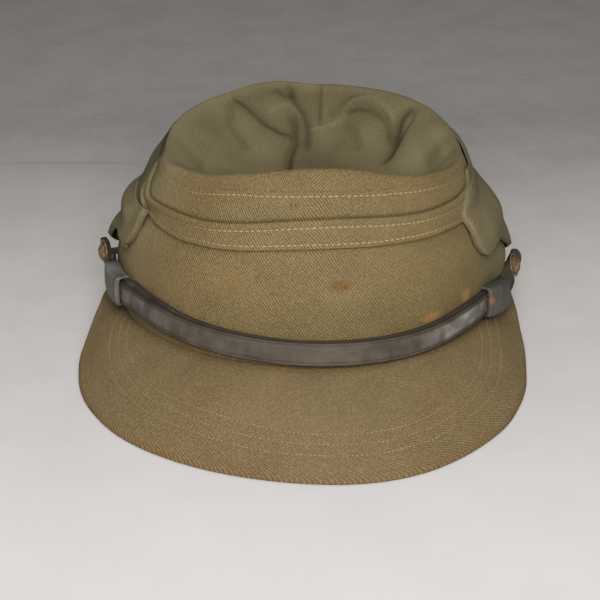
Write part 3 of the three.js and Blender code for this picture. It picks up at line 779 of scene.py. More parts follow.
def stitch_tree(material):
    """Geometry Nodes: one short thread on each point, turned along its row."""
    tree = bpy.data.node_groups.new("Row of stitches", "GeometryNodeTree")
    sides = tree.interface
    sides.new_socket("Geometry", in_out="INPUT", socket_type="NodeSocketGeometry")
    sockets = {}
    for name, value in (("Stitch Length", 0.0017), ("Thread Thickness", 0.0005),
                        ("Unevenness", 0.12)):
        sockets[name] = sides.new_socket(name, in_out="INPUT", socket_type="NodeSocketFloat")
        sockets[name].default_value = value
    sides.new_socket("Geometry", in_out="OUTPUT", socket_type="NodeSocketGeometry")
    start = add_node(tree, "NodeGroupInput").outputs
    ball = add_node(tree, "GeometryNodeMeshUVSphere", {"Segments": 8, "Rings": 5, "Radius": 0.5})
    along, out = (add_node(tree, "GeometryNodeInputNamedAttribute", {"Name": name},
                           data_type="FLOAT_VECTOR").outputs["Attribute"]
                  for name in ("along", "out"))
    turned = add_node(tree, "FunctionNodeAxesToRotation",
                      {"Primary Axis": out, "Secondary Axis": along},
                      primary_axis="Z", secondary_axis="X")
    bounds = [add_node(tree, "ShaderNodeMath", {0: 1.0, 1: start["Unevenness"]},
                       operation=operation).outputs[0] for operation in ("SUBTRACT", "ADD")]
    vary = add_node(tree, "FunctionNodeRandomValue", {"Seed": 7})
    floats = [s for s in vary.inputs if s.name in ("Min", "Max") and s.type == "VALUE"]
    for bound, socket in zip(bounds, floats):
        tree.links.new(bound, socket)
    factor = [s for s in vary.outputs if s.type == "VALUE"][0]
    long = add_node(tree, "ShaderNodeMath", {0: start["Stitch Length"], 1: factor},
                    operation="MULTIPLY").outputs[0]
    thick = start["Thread Thickness"]
    size = add_node(tree, "ShaderNodeCombineXYZ", {"X": long, "Y": thick, "Z": thick}).outputs[0]
    copies = add_node(tree, "GeometryNodeInstanceOnPoints",
                      {"Points": start["Geometry"], "Instance": ball.outputs["Mesh"],
                       "Rotation": turned.outputs["Rotation"], "Scale": size})
    real = add_node(tree, "GeometryNodeRealizeInstances",
                    {"Geometry": copies.outputs["Instances"]})
    dress = add_node(tree, "GeometryNodeSetMaterial",
                     {"Geometry": real.outputs["Geometry"], "Material": material})
    add_node(tree, "NodeGroupOutput", {"Geometry": dress.outputs["Geometry"]})
    return tree, sockets


def sewn(name, rows, pitch, length, thickness, colour, cloth=None):
    """One piece with every stitch of these rows of points and outward directions."""
    stitches = []
    for points, outward in rows:
        legs = np.linalg.norm(np.diff(points, axis=0), axis=1)
        run = np.concatenate([[0], np.cumsum(legs)])
        count = max(int(run[-1] / pitch), 1)
        where = (np.arange(count) + 0.5) * run[-1] / count

        def at_places(values, shift=0.0):
            return np.stack([np.interp(where + shift, run, values[:, k]) for k in range(3)], 1)

        stitches.append((at_places(points), unit(at_places(points, 0.4) - at_places(points, -0.4)),
                         unit(at_places(outward))))
    spots, ways, outs = (np.concatenate(parts) for parts in zip(*stitches))
    mesh = add_mesh(name, place(spots).tolist(), [])
    for label, vectors in (("along", ways), ("out", outs)):
        turned = (place(vectors) - place(np.zeros(3))) / MM
        note(mesh, label, turned, "FLOAT_VECTOR", "vector")
    guide = put(name + "_guide", mesh)
    tree, sockets = stitch_tree(thread_finish(name + " thread", colour, cloth))
    modifier = guide.modifiers.new("Stitches", "NODES")
    modifier.node_group = tree
    for key, value in (("Stitch Length", length * MM), ("Thread Thickness", thickness * MM),
                       ("Unevenness", 0.14)):
        modifier[sockets[key].identifier] = value
    bpy.context.view_layer.update()
    ready = guide.evaluated_get(bpy.context.evaluated_depsgraph_get())
    made = bpy.data.meshes.new_from_object(ready)
    made.name = name
    made.shade_smooth()
    guide.modifiers.clear()
    bpy.data.objects.remove(guide)
    return put(name, made)


# ---------------------------------------------------------------- the cloth pieces


def edge_round(distance, radius):
    """1 well inside an edge, falling like a rounded edge to 0 on it."""
    t = np.clip(distance / radius, 0, 1)
    return np.sqrt(np.clip(1 - (1 - t) ** 2, 0, 1))


def crowded_angles(count):
    """Angles round the cap, closer together at the front."""
    even = np.linspace(-np.pi, np.pi, count, endpoint=False)
    return even - 0.28 * np.sin(even) * (1 + 0.2 * np.cos(even))


def crown_panel(name, angle, at, from_seam, scale, up, pole=False):
    """Wall or top of the crown, with the distance from the seam and the cloth's coordinates: a
    scale for the angles and millimetres up."""
    rim = (1 - edge_round(from_seam, 0.5)) * 0.08 * front_share(angle)
    outer = crown_cloth(angle, at, rim)
    inner = crown_cloth(angle, at, CROWN_CLOTH)
    across = np.append(angle[0], angle[0, 0] + 2 * np.pi) * scale
    up = closed(up)
    weave = np.stack([np.broadcast_to(across, up.shape), up], -1)
    fields = cloth_fields(angle, at, crown(angle, at))
    return shell(name, outer, inner, weave, fields, around=True, pole=pole)


def wall_piece():
    """Wall of the crown, from the rim to the seam of the top."""
    angle, along = np.meshgrid(crowded_angles(420), spread((0, 0.62, 26), (0.62, 1, 44)))
    at = along * (seam_at(angle) - SEAM_GAP)
    from_seam = (1 - along) * crest_height(angle)
    return crown_panel("crown_wall_cloth", angle, at, from_seam, ARC, at * CREST_TALL)


def tip_piece():
    """Sunken top of the crown, inside its seam."""
    angle, along = np.meshgrid(crowded_angles(420), spread((0, 0.55, 58), (0.55, 0.985, 26)))
    start = seam_at(angle) + SEAM_GAP
    at = start + along * (2 - start)
    from_seam = (at - start) * crest_height(angle)
    legs = np.linalg.norm(np.diff(crown(angle, at), axis=0), axis=-1)
    run = np.concatenate([np.zeros((1, angle.shape[1])), np.cumsum(legs, axis=0)])
    return crown_panel("crown_tip_cloth", angle, at, from_seam, 66, run + 700, pole=True)


def cloth_fields(angle, at, points):
    """Random tone, painted shade and light, warmth, greener share and twill strength over the
    crown.
    """
    turn = degrees_round(angle)
    tone_and_painted_shade = 1 + 0.05 * ripple(points, 60, 11) + 0.04 * ripple(points, 17, 12)
    sunken = smooth(at, 1.0, 1.12)
    x, y = points[..., 0], points[..., 1]
    deep = np.where(np.abs(turn) > 58, smooth(at, 0.88, 1.0), smooth(at, 1.0, 1.1)) * 0.85
    deep = np.maximum(deep, 0.85 * smooth(np.abs(turn), 36, 74))
    # Painted shade along the folds of the sunken top.
    folds = 1 + smooth(at, 1.0, 1.06) * (fold_relief(points)[1] - 1)
    # Painted shade in the middle of the sunken top, behind the crest and over its back, and
    # painted light over the two ends of the sunken top.
    sunken_middle_shadow = bell(x - 12, 27) * bell(y - 22, 26)
    crest_shadow = smooth(at, 1.0, 1.12) * smooth(-y, 22, 42)
    ends = smooth(np.abs(x - 3), 34, 50) * smooth(-y, -38, -14) * smooth(at, 1.0, 1.1)
    tone_and_painted_shade = tone_and_painted_shade * folds * (1 - 0.16 * sunken_middle_shadow * sunken) * (1 - 0.15 * crest_shadow)
    tone_and_painted_shade = tone_and_painted_shade * (1 + 0.42 * ends) * (1 - 0.22 * smooth(y, 46, 62) * sunken)
    # Painted light over the right of the sunken top.
    tone_and_painted_shade = tone_and_painted_shade * (1 + 0.10 * smooth(x, 25, 42) * sunken)
    # Painted light over the left of the wall, and a little painted shade over the whole sunken
    # top.
    tone_and_painted_shade = tone_and_painted_shade * (1 + 0.20 * smooth(-turn, 32, 62) * (1 - sunken)) * (1 - 0.05 * sunken)
    # Darker towards the rim at the front.
    tone_and_painted_shade = tone_and_painted_shade * (1 - 0.11 * (1 - smooth(at, 0.16, 0.40)) * (1 - smooth(np.abs(turn), 50, 80)))
    # Painted light over the lower sides of the wall, more on the right.
    tone_and_painted_shade = tone_and_painted_shade * (1 + (0.16 + 0.10 * (turn > 0)) * smooth(np.abs(turn), 52, 72) * (at < 0.6))
    warm = 0.12 * np.clip(ripple(points, 38, 14), 0, 1) * (1 - smooth(np.abs(turn), 34, 60))
    high = crest_height(angle)
    # Painted shadow: dark lines on the wall above the band's upper edge and under its lower edge.
    above = (at - column(BAND, "high", turn)) * high
    below = (column(BAND, "low", turn) - at) * high
    band_shadow_reach = 1 - smooth(np.abs(turn), 74, 80)
    tone_and_painted_shade = tone_and_painted_shade * (1 - band_shadow_reach * (0.45 * bell(above - 0.2, 0.75) + 0.25 * bell(below, 0.8)))
    # Painted shadow on the wall under the curtain's lower edge.
    back = (np.abs(turn) - 62) / (180 - 62)
    hollow = (at - column(CURTAIN, "low", np.clip(back, 0, 1))) * high
    beside = between(np.abs(turn), 64, 70, 100, 120)
    tone_and_painted_shade = tone_and_painted_shade * (1 - 0.5 * beside * bell(hollow + 0.5, 3.2))
    front = bell(turn, 62.0)
    strength = (0.45 + 0.55 * front) * (1 - 0.85 * sunken)
    return {"tone_and_painted_shade": tone_and_painted_shade, "warm": warm, "twill": strength, "deep": deep}


def band_piece():
    """Band round the front of the wall, stitched near both edges."""
    turns = np.linspace(-77, 77, 260)
    turn, along = np.meshgrid(turns, spread((0, 0.12, 6), (0.12, 0.88, 16), (0.88, 1, 7)))
    low, high = column(BAND, "low", turn), column(BAND, "high", turn)
    angle, at = np.radians(turn), low + along * (high - low)
    tall = (high - low) * crest_height(angle)
    up, down = along * tall, (1 - along) * tall
    puff = edge_round(np.minimum(up, down), 0.8)
    channel = 0.30 * bell(down - 3.0, 0.55) + 0.24 * bell(up - 1.8, 0.5)
    points = crown(angle, at)
    base = crown_relief(angle, np.minimum(at, RELIEF_TOP), points)
    outer = off_crown(angle, at, LAYER_GAP + 0.35 + (BAND_CLOTH - 0.35) * puff - channel + base)
    inner = off_crown(angle, at, LAYER_GAP * 0.3 + base)
    weave = np.stack([angle * ARC, at * CREST_TALL + 400], -1)
    fields = cloth_fields(angle, low, points)
    fields["tone_and_painted_shade"] = 1 + 0.04 * ripple(points, 60, 11) + 0.03 * ripple(points, 9, 21)
    return shell("front_band_cloth", outer, inner, weave, fields)


def on_hem_flat(turn, at):
    """Places of the curtain on the flat that its hems are drawn on."""
    return np.stack([np.abs(turn), at], -1) * HEM_SCALE


def hem_place(left, turn, at):
    """Distance inside the hem's outer line, in millimetres, on the curtain."""
    spots = on_hem_flat(turn, at)
    inside = np.empty(spots.shape[:-1])
    for on_side, line in ((left, HEM_LEFT), (~left, HEM_RIGHT)):
        if on_side.any():
            inside[on_side] = -beside_line(spots[on_side], np.array(line) * HEM_SCALE)[1]
    return inside


def curtain_stand(left, turn, at, from_front):
    """Distance of the curtain's inner face from the wall."""
    high_up = smooth(at, np.where(left, 0.72, 0.60), np.where(left, 0.84, 0.74))
    stand = CURTAIN_STAND - 1.6 * high_up
    flare = bell(np.abs(turn) - 88, 15) * (1 - smooth(at, 0.40, 0.54))
    stand = stand + np.where(left, 1.6, 0.2) * flare
    stand = stand - 0.9 * (1 - smooth(at, 0.56, 0.66)) * (1 - smooth(from_front, 4, 14))
    swell = bell(at - np.where(left, 0.615, 0.55), 0.055) * smooth(from_front, 6, 20)
    swell = swell * (1 - smooth(from_front, 50, 80))
    points = np.stack([turn * 1.5, at * CREST_TALL, turn * 0.4], -1)
    wave = 0.5 * ripple(points, 45, 31) * smooth(from_front, 4, 25) * (1 - high_up)
    wave = wave - np.where(left, 0.0, 0.9) * smooth(from_front, 4, 14) * (1 - high_up)
    return stand + np.where(left, 2.4, 0.6) * swell + wave


def curtain_top(left, back):
    """Section of the curtain's upper edge."""
    return np.where(left, column(CURTAIN, "high", back), column(CURTAIN, "high_right", back))


def curtain_cloth(left, turn, at, from_front):
    """Outer and inner points of the curtain, and where its hem is."""
    angle = np.radians(turn)
    from_hem = hem_place(left, turn, at)
    on_tab = smooth(from_hem, -0.35, 0.35)
    on_hem = on_tab * (1 - smooth(from_hem, 1.9, 2.4))
    relief = 0.45 * on_tab + 0.12 * on_hem - 0.22 * bell(from_hem - 2.4, 0.35)
    relief = relief - 0.15 * bell(from_hem - 1.0, 0.3) * on_hem
    back = from_front / CURTAIN_ARC
    high = crest_height(angle)
    from_top = (curtain_top(left, back) - at) * high
    from_low = (at - column(CURTAIN, "low", back)) * high
    puff = edge_round(np.minimum(np.minimum(from_top, from_low), from_front), 1.0)
    thick = CURTAIN_CLOTH - 0.5 * smooth(at, 0.76, 0.90)
    stand = curtain_stand(left, turn, at, from_front)
    outer = off_wall(angle, at, stand + 0.6 + (thick - 0.6) * puff + relief)
    return outer, off_wall(angle, at, stand), from_hem


def curtain_piece():
    """Turned-up curtain, from tab to tab round the back."""
    back = np.linspace(0, 1, 170) ** 1.25
    across = np.concatenate([1 - back, -(1 - back[::-1][1:])])
    across, along = np.meshgrid(across, np.linspace(0, 1, 54))
    toward = 1 - np.abs(across)
    low = column(CURTAIN, "low", toward)
    left = across < 0
    high = curtain_top(left, toward)
    at = low + along * (high - low)
    held = np.clip(at, 0.43, 0.99)
    front = np.where(left, *(column(table, "turn", held) for table in (TAB_LEFT, TAB_RIGHT)))
    away = front + (180 - front) * toward
    turn = np.where(left, 360 - away, away)
    from_front = toward * CURTAIN_ARC
    away = degrees_round(np.radians(turn))
    outer, inner, from_hem = curtain_cloth(left, away, at, from_front)
    angle = np.radians(turn)
    weave = np.stack([angle * ARC, at * CREST_TALL + 900], -1)
    fields = cloth_fields(angle, low, crown(angle, at))
    on_hem = between(from_hem, -0.3, 0.3, 1.9, 2.4)
    fields["twill"] = 0.25 + 0.25 * on_hem
    # Random tone, lighter along the hem.
    tone_and_painted_shade = 1 + 0.05 * ripple(outer, 30, 35) + 0.08 * on_hem
    # Painted shadow in a dark line along the tab's edge, and painted shade over the curtain beside
    # the tab.
    tone_and_painted_shade = tone_and_painted_shade * (1 - 0.30 * bell(from_hem + 0.5, 0.6)) * (1 - 0.15 * smooth(-from_hem, 0, 3))
    strip_line = np.array(((84.0, 0.82), (66.0, 0.75), (61.0, 0.725))) * HEM_SCALE
    from_strip = beside_line(on_hem_flat(away, at), strip_line)[0]
    tone_and_painted_shade = tone_and_painted_shade * (1 - 0.35 * left * bell(from_strip, 0.6))
    # Painted shadow along the left curtain's upper edge, where it meets the crest.
    from_top = (high - at) * crest_height(angle)
    on_left = left * smooth(-away, 66, 80)
    fields["tone_and_painted_shade"] = tone_and_painted_shade * (1 - 0.6 * on_left * bell(from_top - 1.2, 1.7))
    return shell("neck_curtain_cloth", outer, inner, weave, fields)


def visor_surface(turn, along):
    """Points of the visor's upper face. along: 0 at the root, 1 at the edge."""
    angle = np.radians(turn)
    outward = crown_normal(angle, np.zeros_like(angle))
    outward[..., 2] = 0
    outward = unit(outward)
    reach = column(VISOR, "reach", turn)
    root = crown(angle, np.zeros_like(angle))
    edge = root + outward * reach[..., None]
    far = -CROWN_CLOTH + along * (reach + CROWN_CLOTH)
    spot = root + outward * far[..., None]
    lift = column(VISOR_LIFT, "share", np.abs(turn))
    on_floor = floor_height(edge[..., 1]) + VISOR_CLOTH
    edge_top = on_floor + lift * (-0.3 - on_floor)
    bulge = 3.6 * (1 - lift) * np.sin(np.pi * along ** 0.9)
    spot[..., 2] = -0.3 + along * (edge_top + 0.3) + bulge
    return spot


def visor_depths(turn, along):
    """Distance from the visor's edge, in millimetres."""
    reach = column(VISOR, "reach", turn)
    return (1 - along) * (reach + CROWN_CLOTH) * VISOR_SLOPE


def visor_relief(points):
    """Unevenness of the visor's upper face, in millimetres."""
    return 0.35 * ripple(points, 48, 41) + 0.14 * ripple(points, 17, 42)


STITCH_ROWS = {
    "turn": (-88, -60, -40, -20, 0, 20, 40, 60, 88),
    "outer": (18.0, 17.5, 12.8, 9.8, 8.4, 8.8, 10.8, 15.5, 16.0),
    "middle": (23.0, 22.5, 17.8, 14.2, 12.6, 13.0, 15.6, 21.0, 21.5),
    "inner": (27.5, 27.0, 22.4, 18.6, 16.6, 17.2, 20.2, 26.5, 27.0),
}
VISOR_ROWS = ("outer", "middle", "inner")


def visor_piece():
    """Visor, from under the rim to its rounded edge."""
    turns = np.linspace(-87.5, 87.5, 330)
    turn, along = np.meshgrid(turns, spread((0, 0.90, 60), (0.90, 1, 16)))
    inside = visor_depths(turn, along)
    spot = visor_surface(turn, along)
    relief = visor_relief(spot)
    for row in VISOR_ROWS:
        relief = relief - 0.16 * bell(inside - column(STITCH_ROWS, row, turn), 0.7)
    relief = relief * smooth(inside, 0, 4)
    ease = edge_round(inside, 1.7)
    outer = spot.copy()
    outer[..., 2] += relief - (1 - ease) * 1.45
    inner = spot.copy()
    inner[..., 2] += -VISOR_CLOTH + (1 - ease) * 1.35
    lowest = floor_height(inner[..., 1])
    inner[..., 2] = np.maximum(inner[..., 2], lowest)
    outer[..., 2] = np.maximum(outer[..., 2], lowest + 0.2)
    weave = np.stack([np.radians(turn) * 120, inside + 1300], -1)
    tone_and_painted_shade = 1 + 0.04 * ripple(spot, 50, 43) + 0.03 * ripple(spot, 14, 44)
    worn = 1 - smooth(inside, 0.4, 2.6)
    beside = smooth(np.abs(turn), 28, 56)
    # Painted light over the left side of the visor.
    tone_and_painted_shade = tone_and_painted_shade * (1 + 0.13 * beside * (turn < 0))
    fields = {
        "tone_and_painted_shade": tone_and_painted_shade * (1 - 0.10 * worn),
        "warm": 0.08 * np.clip(ripple(spot, 36, 45), 0, 1) * (1 - beside) + 0.2 * worn,
        "twill": 0.45 + 0.45 * smooth(-inside, -26, -8),
        "deep": 0.15 * beside,
    }
    return shell("visor_cloth", outer, inner, weave, fields)


# ---------------------------------------------------------------- the chin strap


def side_path(angle):
    """Middle of the strap seen from above, on the wall at the front and straight to a button."""
    turn = np.degrees(angle)
    side = np.where(turn < 0, -1.0, 1.0)
    leave = np.radians(STRAP_LEAVE)
    button = np.where(turn < 0, *BUTTON_SIDES)
    share = (np.abs(turn) - STRAP_LEAVE) / (BUTTON_TURN - STRAP_LEAVE)
    low = np.full_like(turn, 0.1)
    start = crown(side * leave, low)[..., :2]
    step = np.radians(BUTTON_TURN - STRAP_LEAVE)
    start_way = (crown(side * leave, low) - crown(side * (leave - 0.01), low))[..., :2]
    start_way = start_way * (step / 0.01)
    stop = np.stack([button, np.full_like(turn, BUTTON_FRONT)], -1)
    facing = np.radians(64.0)
    stop_way = np.stack([side * np.cos(facing), np.full_like(turn, np.sin(facing))], -1) * 52.0
    path = curve(np.clip(share, 0, 1)[..., None], start, stop, start_way, stop_way)
    past = np.maximum(share - 1, 0)[..., None] * stop_way
    away = np.where(turn < 0, 2.8, 3.6) * np.sin(np.pi * np.clip(share, 0, 1))
    path = path + away[..., None] * np.stack([side * 0.9, np.full_like(turn, -0.43)], -1)
    return path + past, share


def strap_line(angle, rise):
    """Points of the strap's middle on the wall or free of it."""
    angle = np.asarray(angle, float)
    height = column(STRAP_LINE, "height", np.degrees(angle)) + rise
    at = height / crest_height(angle)
    on_wall = crown(angle, at)
    beside, share = side_path(angle)
    free = smooth(share, 0.0, 0.12)[..., None]
    flat = on_wall[..., :2] * (1 - free) + beside * free
    return np.concatenate([flat, on_wall[..., 2:]], -1), at, free


def strap_frame(angle, stand, rise):
    """Middle of the strap, the way out and the way up, at angles in radians."""
    angle = np.asarray(angle, float)
    middle, at, free = strap_line(angle, rise)
    along = unit(strap_line(angle + 0.02, rise)[0] - strap_line(angle - 0.02, rise)[0])
    upward = unit(crown(angle, at + 0.02) - crown(angle, at - 0.02))
    upward = upward * (1 - free) + np.array([0.0, 0.0, 1.0]) * free
    out = unit(np.cross(along, upward))
    up = unit(np.cross(out, along))
    turn = np.degrees(angle)[..., None]
    lean = np.radians(50.0) * (1.15 * bell(turn - 78.0, 7.5) + 0.9 * bell(turn - 98.0, 6.5))
    out, up = out * np.cos(lean) + up * np.sin(lean), up * np.cos(lean) - out * np.sin(lean)
    return middle + out * np.asarray(stand)[..., None], out, up


def inner_rise(angle):
    """How far the strap behind stands above the one in front."""
    turn = np.degrees(angle)
    return 0.35 + 1.5 * bell(turn + 64, 24) + 0.5 * smooth(turn, 50, 75)


def taper(angle):
    """Width of the strap against its width at the front, and how far its middle rises."""
    turn = np.degrees(angle)
    narrow = np.where(turn < 0, 1 - 0.40 * smooth(-turn, 64, 77), 1 - 0.12 * smooth(turn, 63, 73))
    width = size("strap_width")
    return narrow, np.where(turn < 0, 0.95, 0.5) * (1 - narrow) * width / 2


def strap_piece(name, start, stop, thickness, stand, rise, rounded):
    """Leather strap with pressed edge lines and rounded ends."""
    width = size("strap_width")
    profile = np.array([-1, -0.97, -0.90, -0.80, -0.73, -0.66, -0.5, -0.25, 0, 0.25, 0.5, 0.66,
                        0.73, 0.80, 0.90, 0.97, 1])
    angle, across = np.meshgrid(np.linspace(start, stop, 300), profile)
    lifted = rise(angle) if rise else 0.0
    middle, out, up = strap_frame(angle, np.full_like(angle, stand), lifted)
    narrow, middle_lift = taper(angle)
    reach = narrow * width / 2
    for end, edge in ((-1, start), (1, stop)):
        if end in rounded:
            gap = np.abs(angle - edge) * ARC / (width / 2)
            reach = reach * np.maximum(edge_round(gap, 1), 0.2)
    from_edge = (1 - np.abs(across)) * width / 2
    ease = edge_round(from_edge, 0.55)
    crease = bell(from_edge - 1.25, 0.24)
    body = 0.10 * ripple(middle, 14, 51) + 0.06 * ripple(middle, 5, 52)
    lift = thickness * (0.45 + 0.55 * ease) - 0.22 * crease + body * (from_edge > 0.5)
    inner = middle + up * (across * reach + middle_lift)[..., None]
    outer = inner + out * lift[..., None]
    weave = np.stack([angle * ARC, across * width / 2], -1)
    rim = 1 - smooth(from_edge, 0.15, 0.75)
    middle_band = 1 - smooth(np.abs(across), 0.45, 0.8)
    turns = np.degrees(angle)
    # Grey scuffs and a painted highlight towards the two ends of the strap's front.
    scuff_and_highlight = (bell(turns - 47, 11) + 0.30 * bell(turns + 54, 16)) * middle_band
    fields = {"edge": 0.25 * rim, "crease": np.clip(0.45 * crease + 0.75 * rim, 0, 1),
              "scuff_and_highlight": scuff_and_highlight}
    return shell(name, outer, inner, weave, fields, sharp=70)


def slide_piece(name, turn, half, swell_out):
    """Leather loop round both straps, half its length to either side of an angle."""
    width = size("strap_width")
    inside = INNER_STRAP + 0.3 + OUTER_STRAP + 2 * SLIDE_CLEARANCE
    tall = width + INNER_RISE + 2 * SLIDE_CLEARANCE
    reach = half / HALF_RIM
    long = 6
    turns = np.linspace(0, 2 * np.pi, 56, endpoint=False)
    places = np.linspace(-1, 1, 33)
    rise, depth = (np.meshgrid(np.sign(wave) * np.abs(wave) ** 0.42, places)[0]
                   for wave in (np.cos(turns), np.sin(turns)))
    row = np.meshgrid(turns, places)[1]
    angle = np.radians(turn) + row * reach
    stand = np.full_like(angle, STRAP_STAND - SLIDE_CLEARANCE + inside / 2)
    middle, out, up = strap_frame(angle, stand, INNER_RISE / 2)
    from_end = (1 - np.abs(row)) * long
    ease = edge_round(from_end, 0.6)
    skin = SLIDE_LEATHER * (0.35 + 0.65 * ease)
    narrow, lift = taper(angle)
    within_rise = rise * tall / 2 * narrow + lift
    within = middle + up * within_rise[..., None] + out * (depth * inside / 2)[..., None]
    full_rise = within_rise + 0.5 * rise * skin
    full_depth = depth * (inside / 2 + skin) + swell_out * (depth > 0) * depth * (1 - row ** 2)
    swell = 0.12 * ripple(middle, 7, 61)
    outside = middle + up * (full_rise + swell)[..., None] + out * (full_depth + swell)[..., None]
    crease = bell(from_end - 1.3, 0.28)
    outside = outside - out * (0.18 * crease * np.sign(depth))[..., None]
    weave = np.stack(np.meshgrid(np.append(turns, 2 * np.pi) * 5, places * long), -1)
    rubbed = 0.10 if turn < 0 else 0.22
    fields = {
        "edge": rubbed * (1 - smooth(from_end, 0.1, 1.0)),
        "crease": np.maximum(0.6 * crease, 0.45 * (1 - smooth(from_end, 0.0, 0.35))),
    }
    return shell(name, outside, within, weave, fields, around=True, sharp=75)


def button_piece(name, side):
    """Domed button with a raised rim, on its shank."""
    angle = np.radians(side * BUTTON_TURN)
    under = OUTER_STAND if side < 0 else STRAP_STAND
    thick = OUTER_STRAP if side < 0 else INNER_STRAP
    rise = 0 if side < 0 else INNER_RISE
    face = under + thick + 0.3
    middle, out, up = strap_frame(angle, face, rise)
    sideways = np.cross(up, out)
    shank = -(face + 1.6) if side < 0 else -(face + 5.0)
    dome = 3.2
    radius = size("button_diameter") / 2
    outline = np.array([
        (0.0, shank), (1.45, shank), (1.5, shank + 0.1), (1.5, -0.05), (1.6, 0.0),
        (radius - 0.5, 0.0), (radius - 0.2, 0.1), (radius, 0.35), (radius - 0.05, 0.65),
        (radius - 0.35, 0.85), (radius - 0.7, 0.80), (radius - 0.95, 0.72), (radius - 1.3, 1.15),
        (radius - 1.9, 1.85), (radius - 2.7, 2.45), (radius - 3.6, 2.90), (radius - 4.5, 3.12),
        (0.0, dome),
    ])
    turns = np.linspace(0, 2 * np.pi, 40, endpoint=False)
    rows = outline[1:-1]
    across = rows[:, 0][:, None] * np.stack([np.cos(turns), np.sin(turns)])[:, None, :]
    points = (middle + across[0][..., None] * sideways + across[1][..., None] * up
              + rows[:, 1][:, None, None] * out)
    count, cols = points.shape[:2]
    corners = np.concatenate([points.reshape(-1, 3), [middle + out * shank, middle + out * dome]])
    wide = closed(np.arange(count * cols).reshape(count, cols))
    polygons = quads(wide).tolist()
    low, high = count * cols, count * cols + 1
    for k in range(cols):
        polygons.append((int(wide[0, k + 1]), int(wide[0, k]), low))
        polygons.append((int(wide[-1, k]), int(wide[-1, k + 1]), high))
    mesh = add_mesh(name, place(corners).tolist(), polygons)
    crease = np.zeros(len(corners))
    crease[: count * cols] = np.repeat(bell(rows[:, 0] - (radius - 0.95), 0.35)
                                       * (rows[:, 1] > 0.5), cols)
    note(mesh, "crease", crease)
    mesh.set_sharp_from_angle(angle=np.radians(60))
    return put(name, mesh)


# ---------------------------------------------------------------- rows of stitches


def wall_row(turns, edge, off, stand, held=2.0):
    """Row off millimetres above an edge of the crown, on its relief up to held."""
    angle = np.radians(turns)
    at = edge + off / crest_height(angle)
    base = crown_relief(angle, np.minimum(at, held), crown(angle, at))
    return off_crown(angle, at, base + stand), crown_normal(angle, at)


def crown_rows():
    """One row of stitches under the seam of the top."""
    turns = np.linspace(-57, 59, 700)
    return [wall_row(turns, seam_at(np.radians(turns)), -1.8, 0.08)]


def band_rows():
    """A row of stitches along each edge of the band."""
    turns = np.linspace(-76, 76, 800)
    stand = LAYER_GAP + BAND_CLOTH - 0.18
    return [wall_row(turns, column(BAND, edge, turns), off, stand, RELIEF_TOP)
            for edge, off in (("high", -3.0), ("low", 1.8))]


def tab_rows():
    """Two rows of stitches along the hem of each tab."""
    rows = []
    for table, hem, side in ((TAB_LEFT, HEM_LEFT, -1), (TAB_RIGHT, HEM_RIGHT, 1)):
        line = np.array(hem) * HEM_SCALE
        way = np.gradient(line, axis=0)
        inward = unit(np.stack([way[:, 1], -way[:, 0]], 1))
        for inset in (0.6, 1.7):
            moved = (line + inset * inward)[1:-1]
            steps = np.linspace(0, len(moved) - 1, 300)
            turns, at = (np.interp(steps, np.arange(len(moved)), moved[:, k]) / HEM_SCALE[k]
                         for k in (0, 1))
            from_front = np.radians(turns - column(table, "turn", at)) * ARC
            left = np.full(turns.shape, side < 0)
            outer = curtain_cloth(left, side * turns, at, from_front)[0]
            rows.append((outer, crown_normal(np.radians(side * turns), at)))
    return rows


def visor_rows():
    """Three rows of stitches along the edge of the visor."""
    rows = []
    for name in VISOR_ROWS:
        turns = np.linspace(-76, 76, 700)
        along = 1 - column(STITCH_ROWS, name, turns) / visor_depths(turns, 0)
        keep = visor_depths(turns, along) < visor_depths(turns, 0) - 3.5
        turns, along = turns[keep], along[keep]
        points = visor_surface(turns, along)
        up = unit(np.cross(np.gradient(points, axis=0),
                           visor_surface(turns, along + 0.02) - points))
        points[:, 2] += visor_relief(points) + 0.04
        rows.append((points, up * np.sign(up[:, 2:3])))
    return rows


# ---------------------------------------------------------------- add-on


def colour_property(name, description, value):
    """A colour that the panel shows."""
    return FloatVectorProperty(name=name, description=description, subtype="COLOR", size=3,
                               min=0.0, max=1.0, default=value)


def length_property(name, description, value):
    """A length that the panel shows."""
    return FloatProperty(name=name, description=description, unit="LENGTH", subtype="DISTANCE",
                         min=0.0, default=value, precision=4)


class KepiSizes(bpy.types.PropertyGroup):
    """Sizes of the cap."""

    rim_width: length_property("Rim width", "Width of the cap over its rim", 0.166)
    rim_length: length_property("Rim length", "Length of the cap over its rim", 0.196)
    strap_width: length_property("Strap width", "Width of the chin strap", 0.0094)
    button_diameter: length_property("Button diameter", "Diameter of the two buttons", 0.011)
    stitch_pitch: length_property("Stitch pitch", "Distance from stitch to stitch", 0.0024)
    stitch_length: length_property("Stitch length", "Length of a stitch that shows", 0.0018)
    thread: length_property("Thread thickness", "Thickness of the sewing thread", 0.0005)


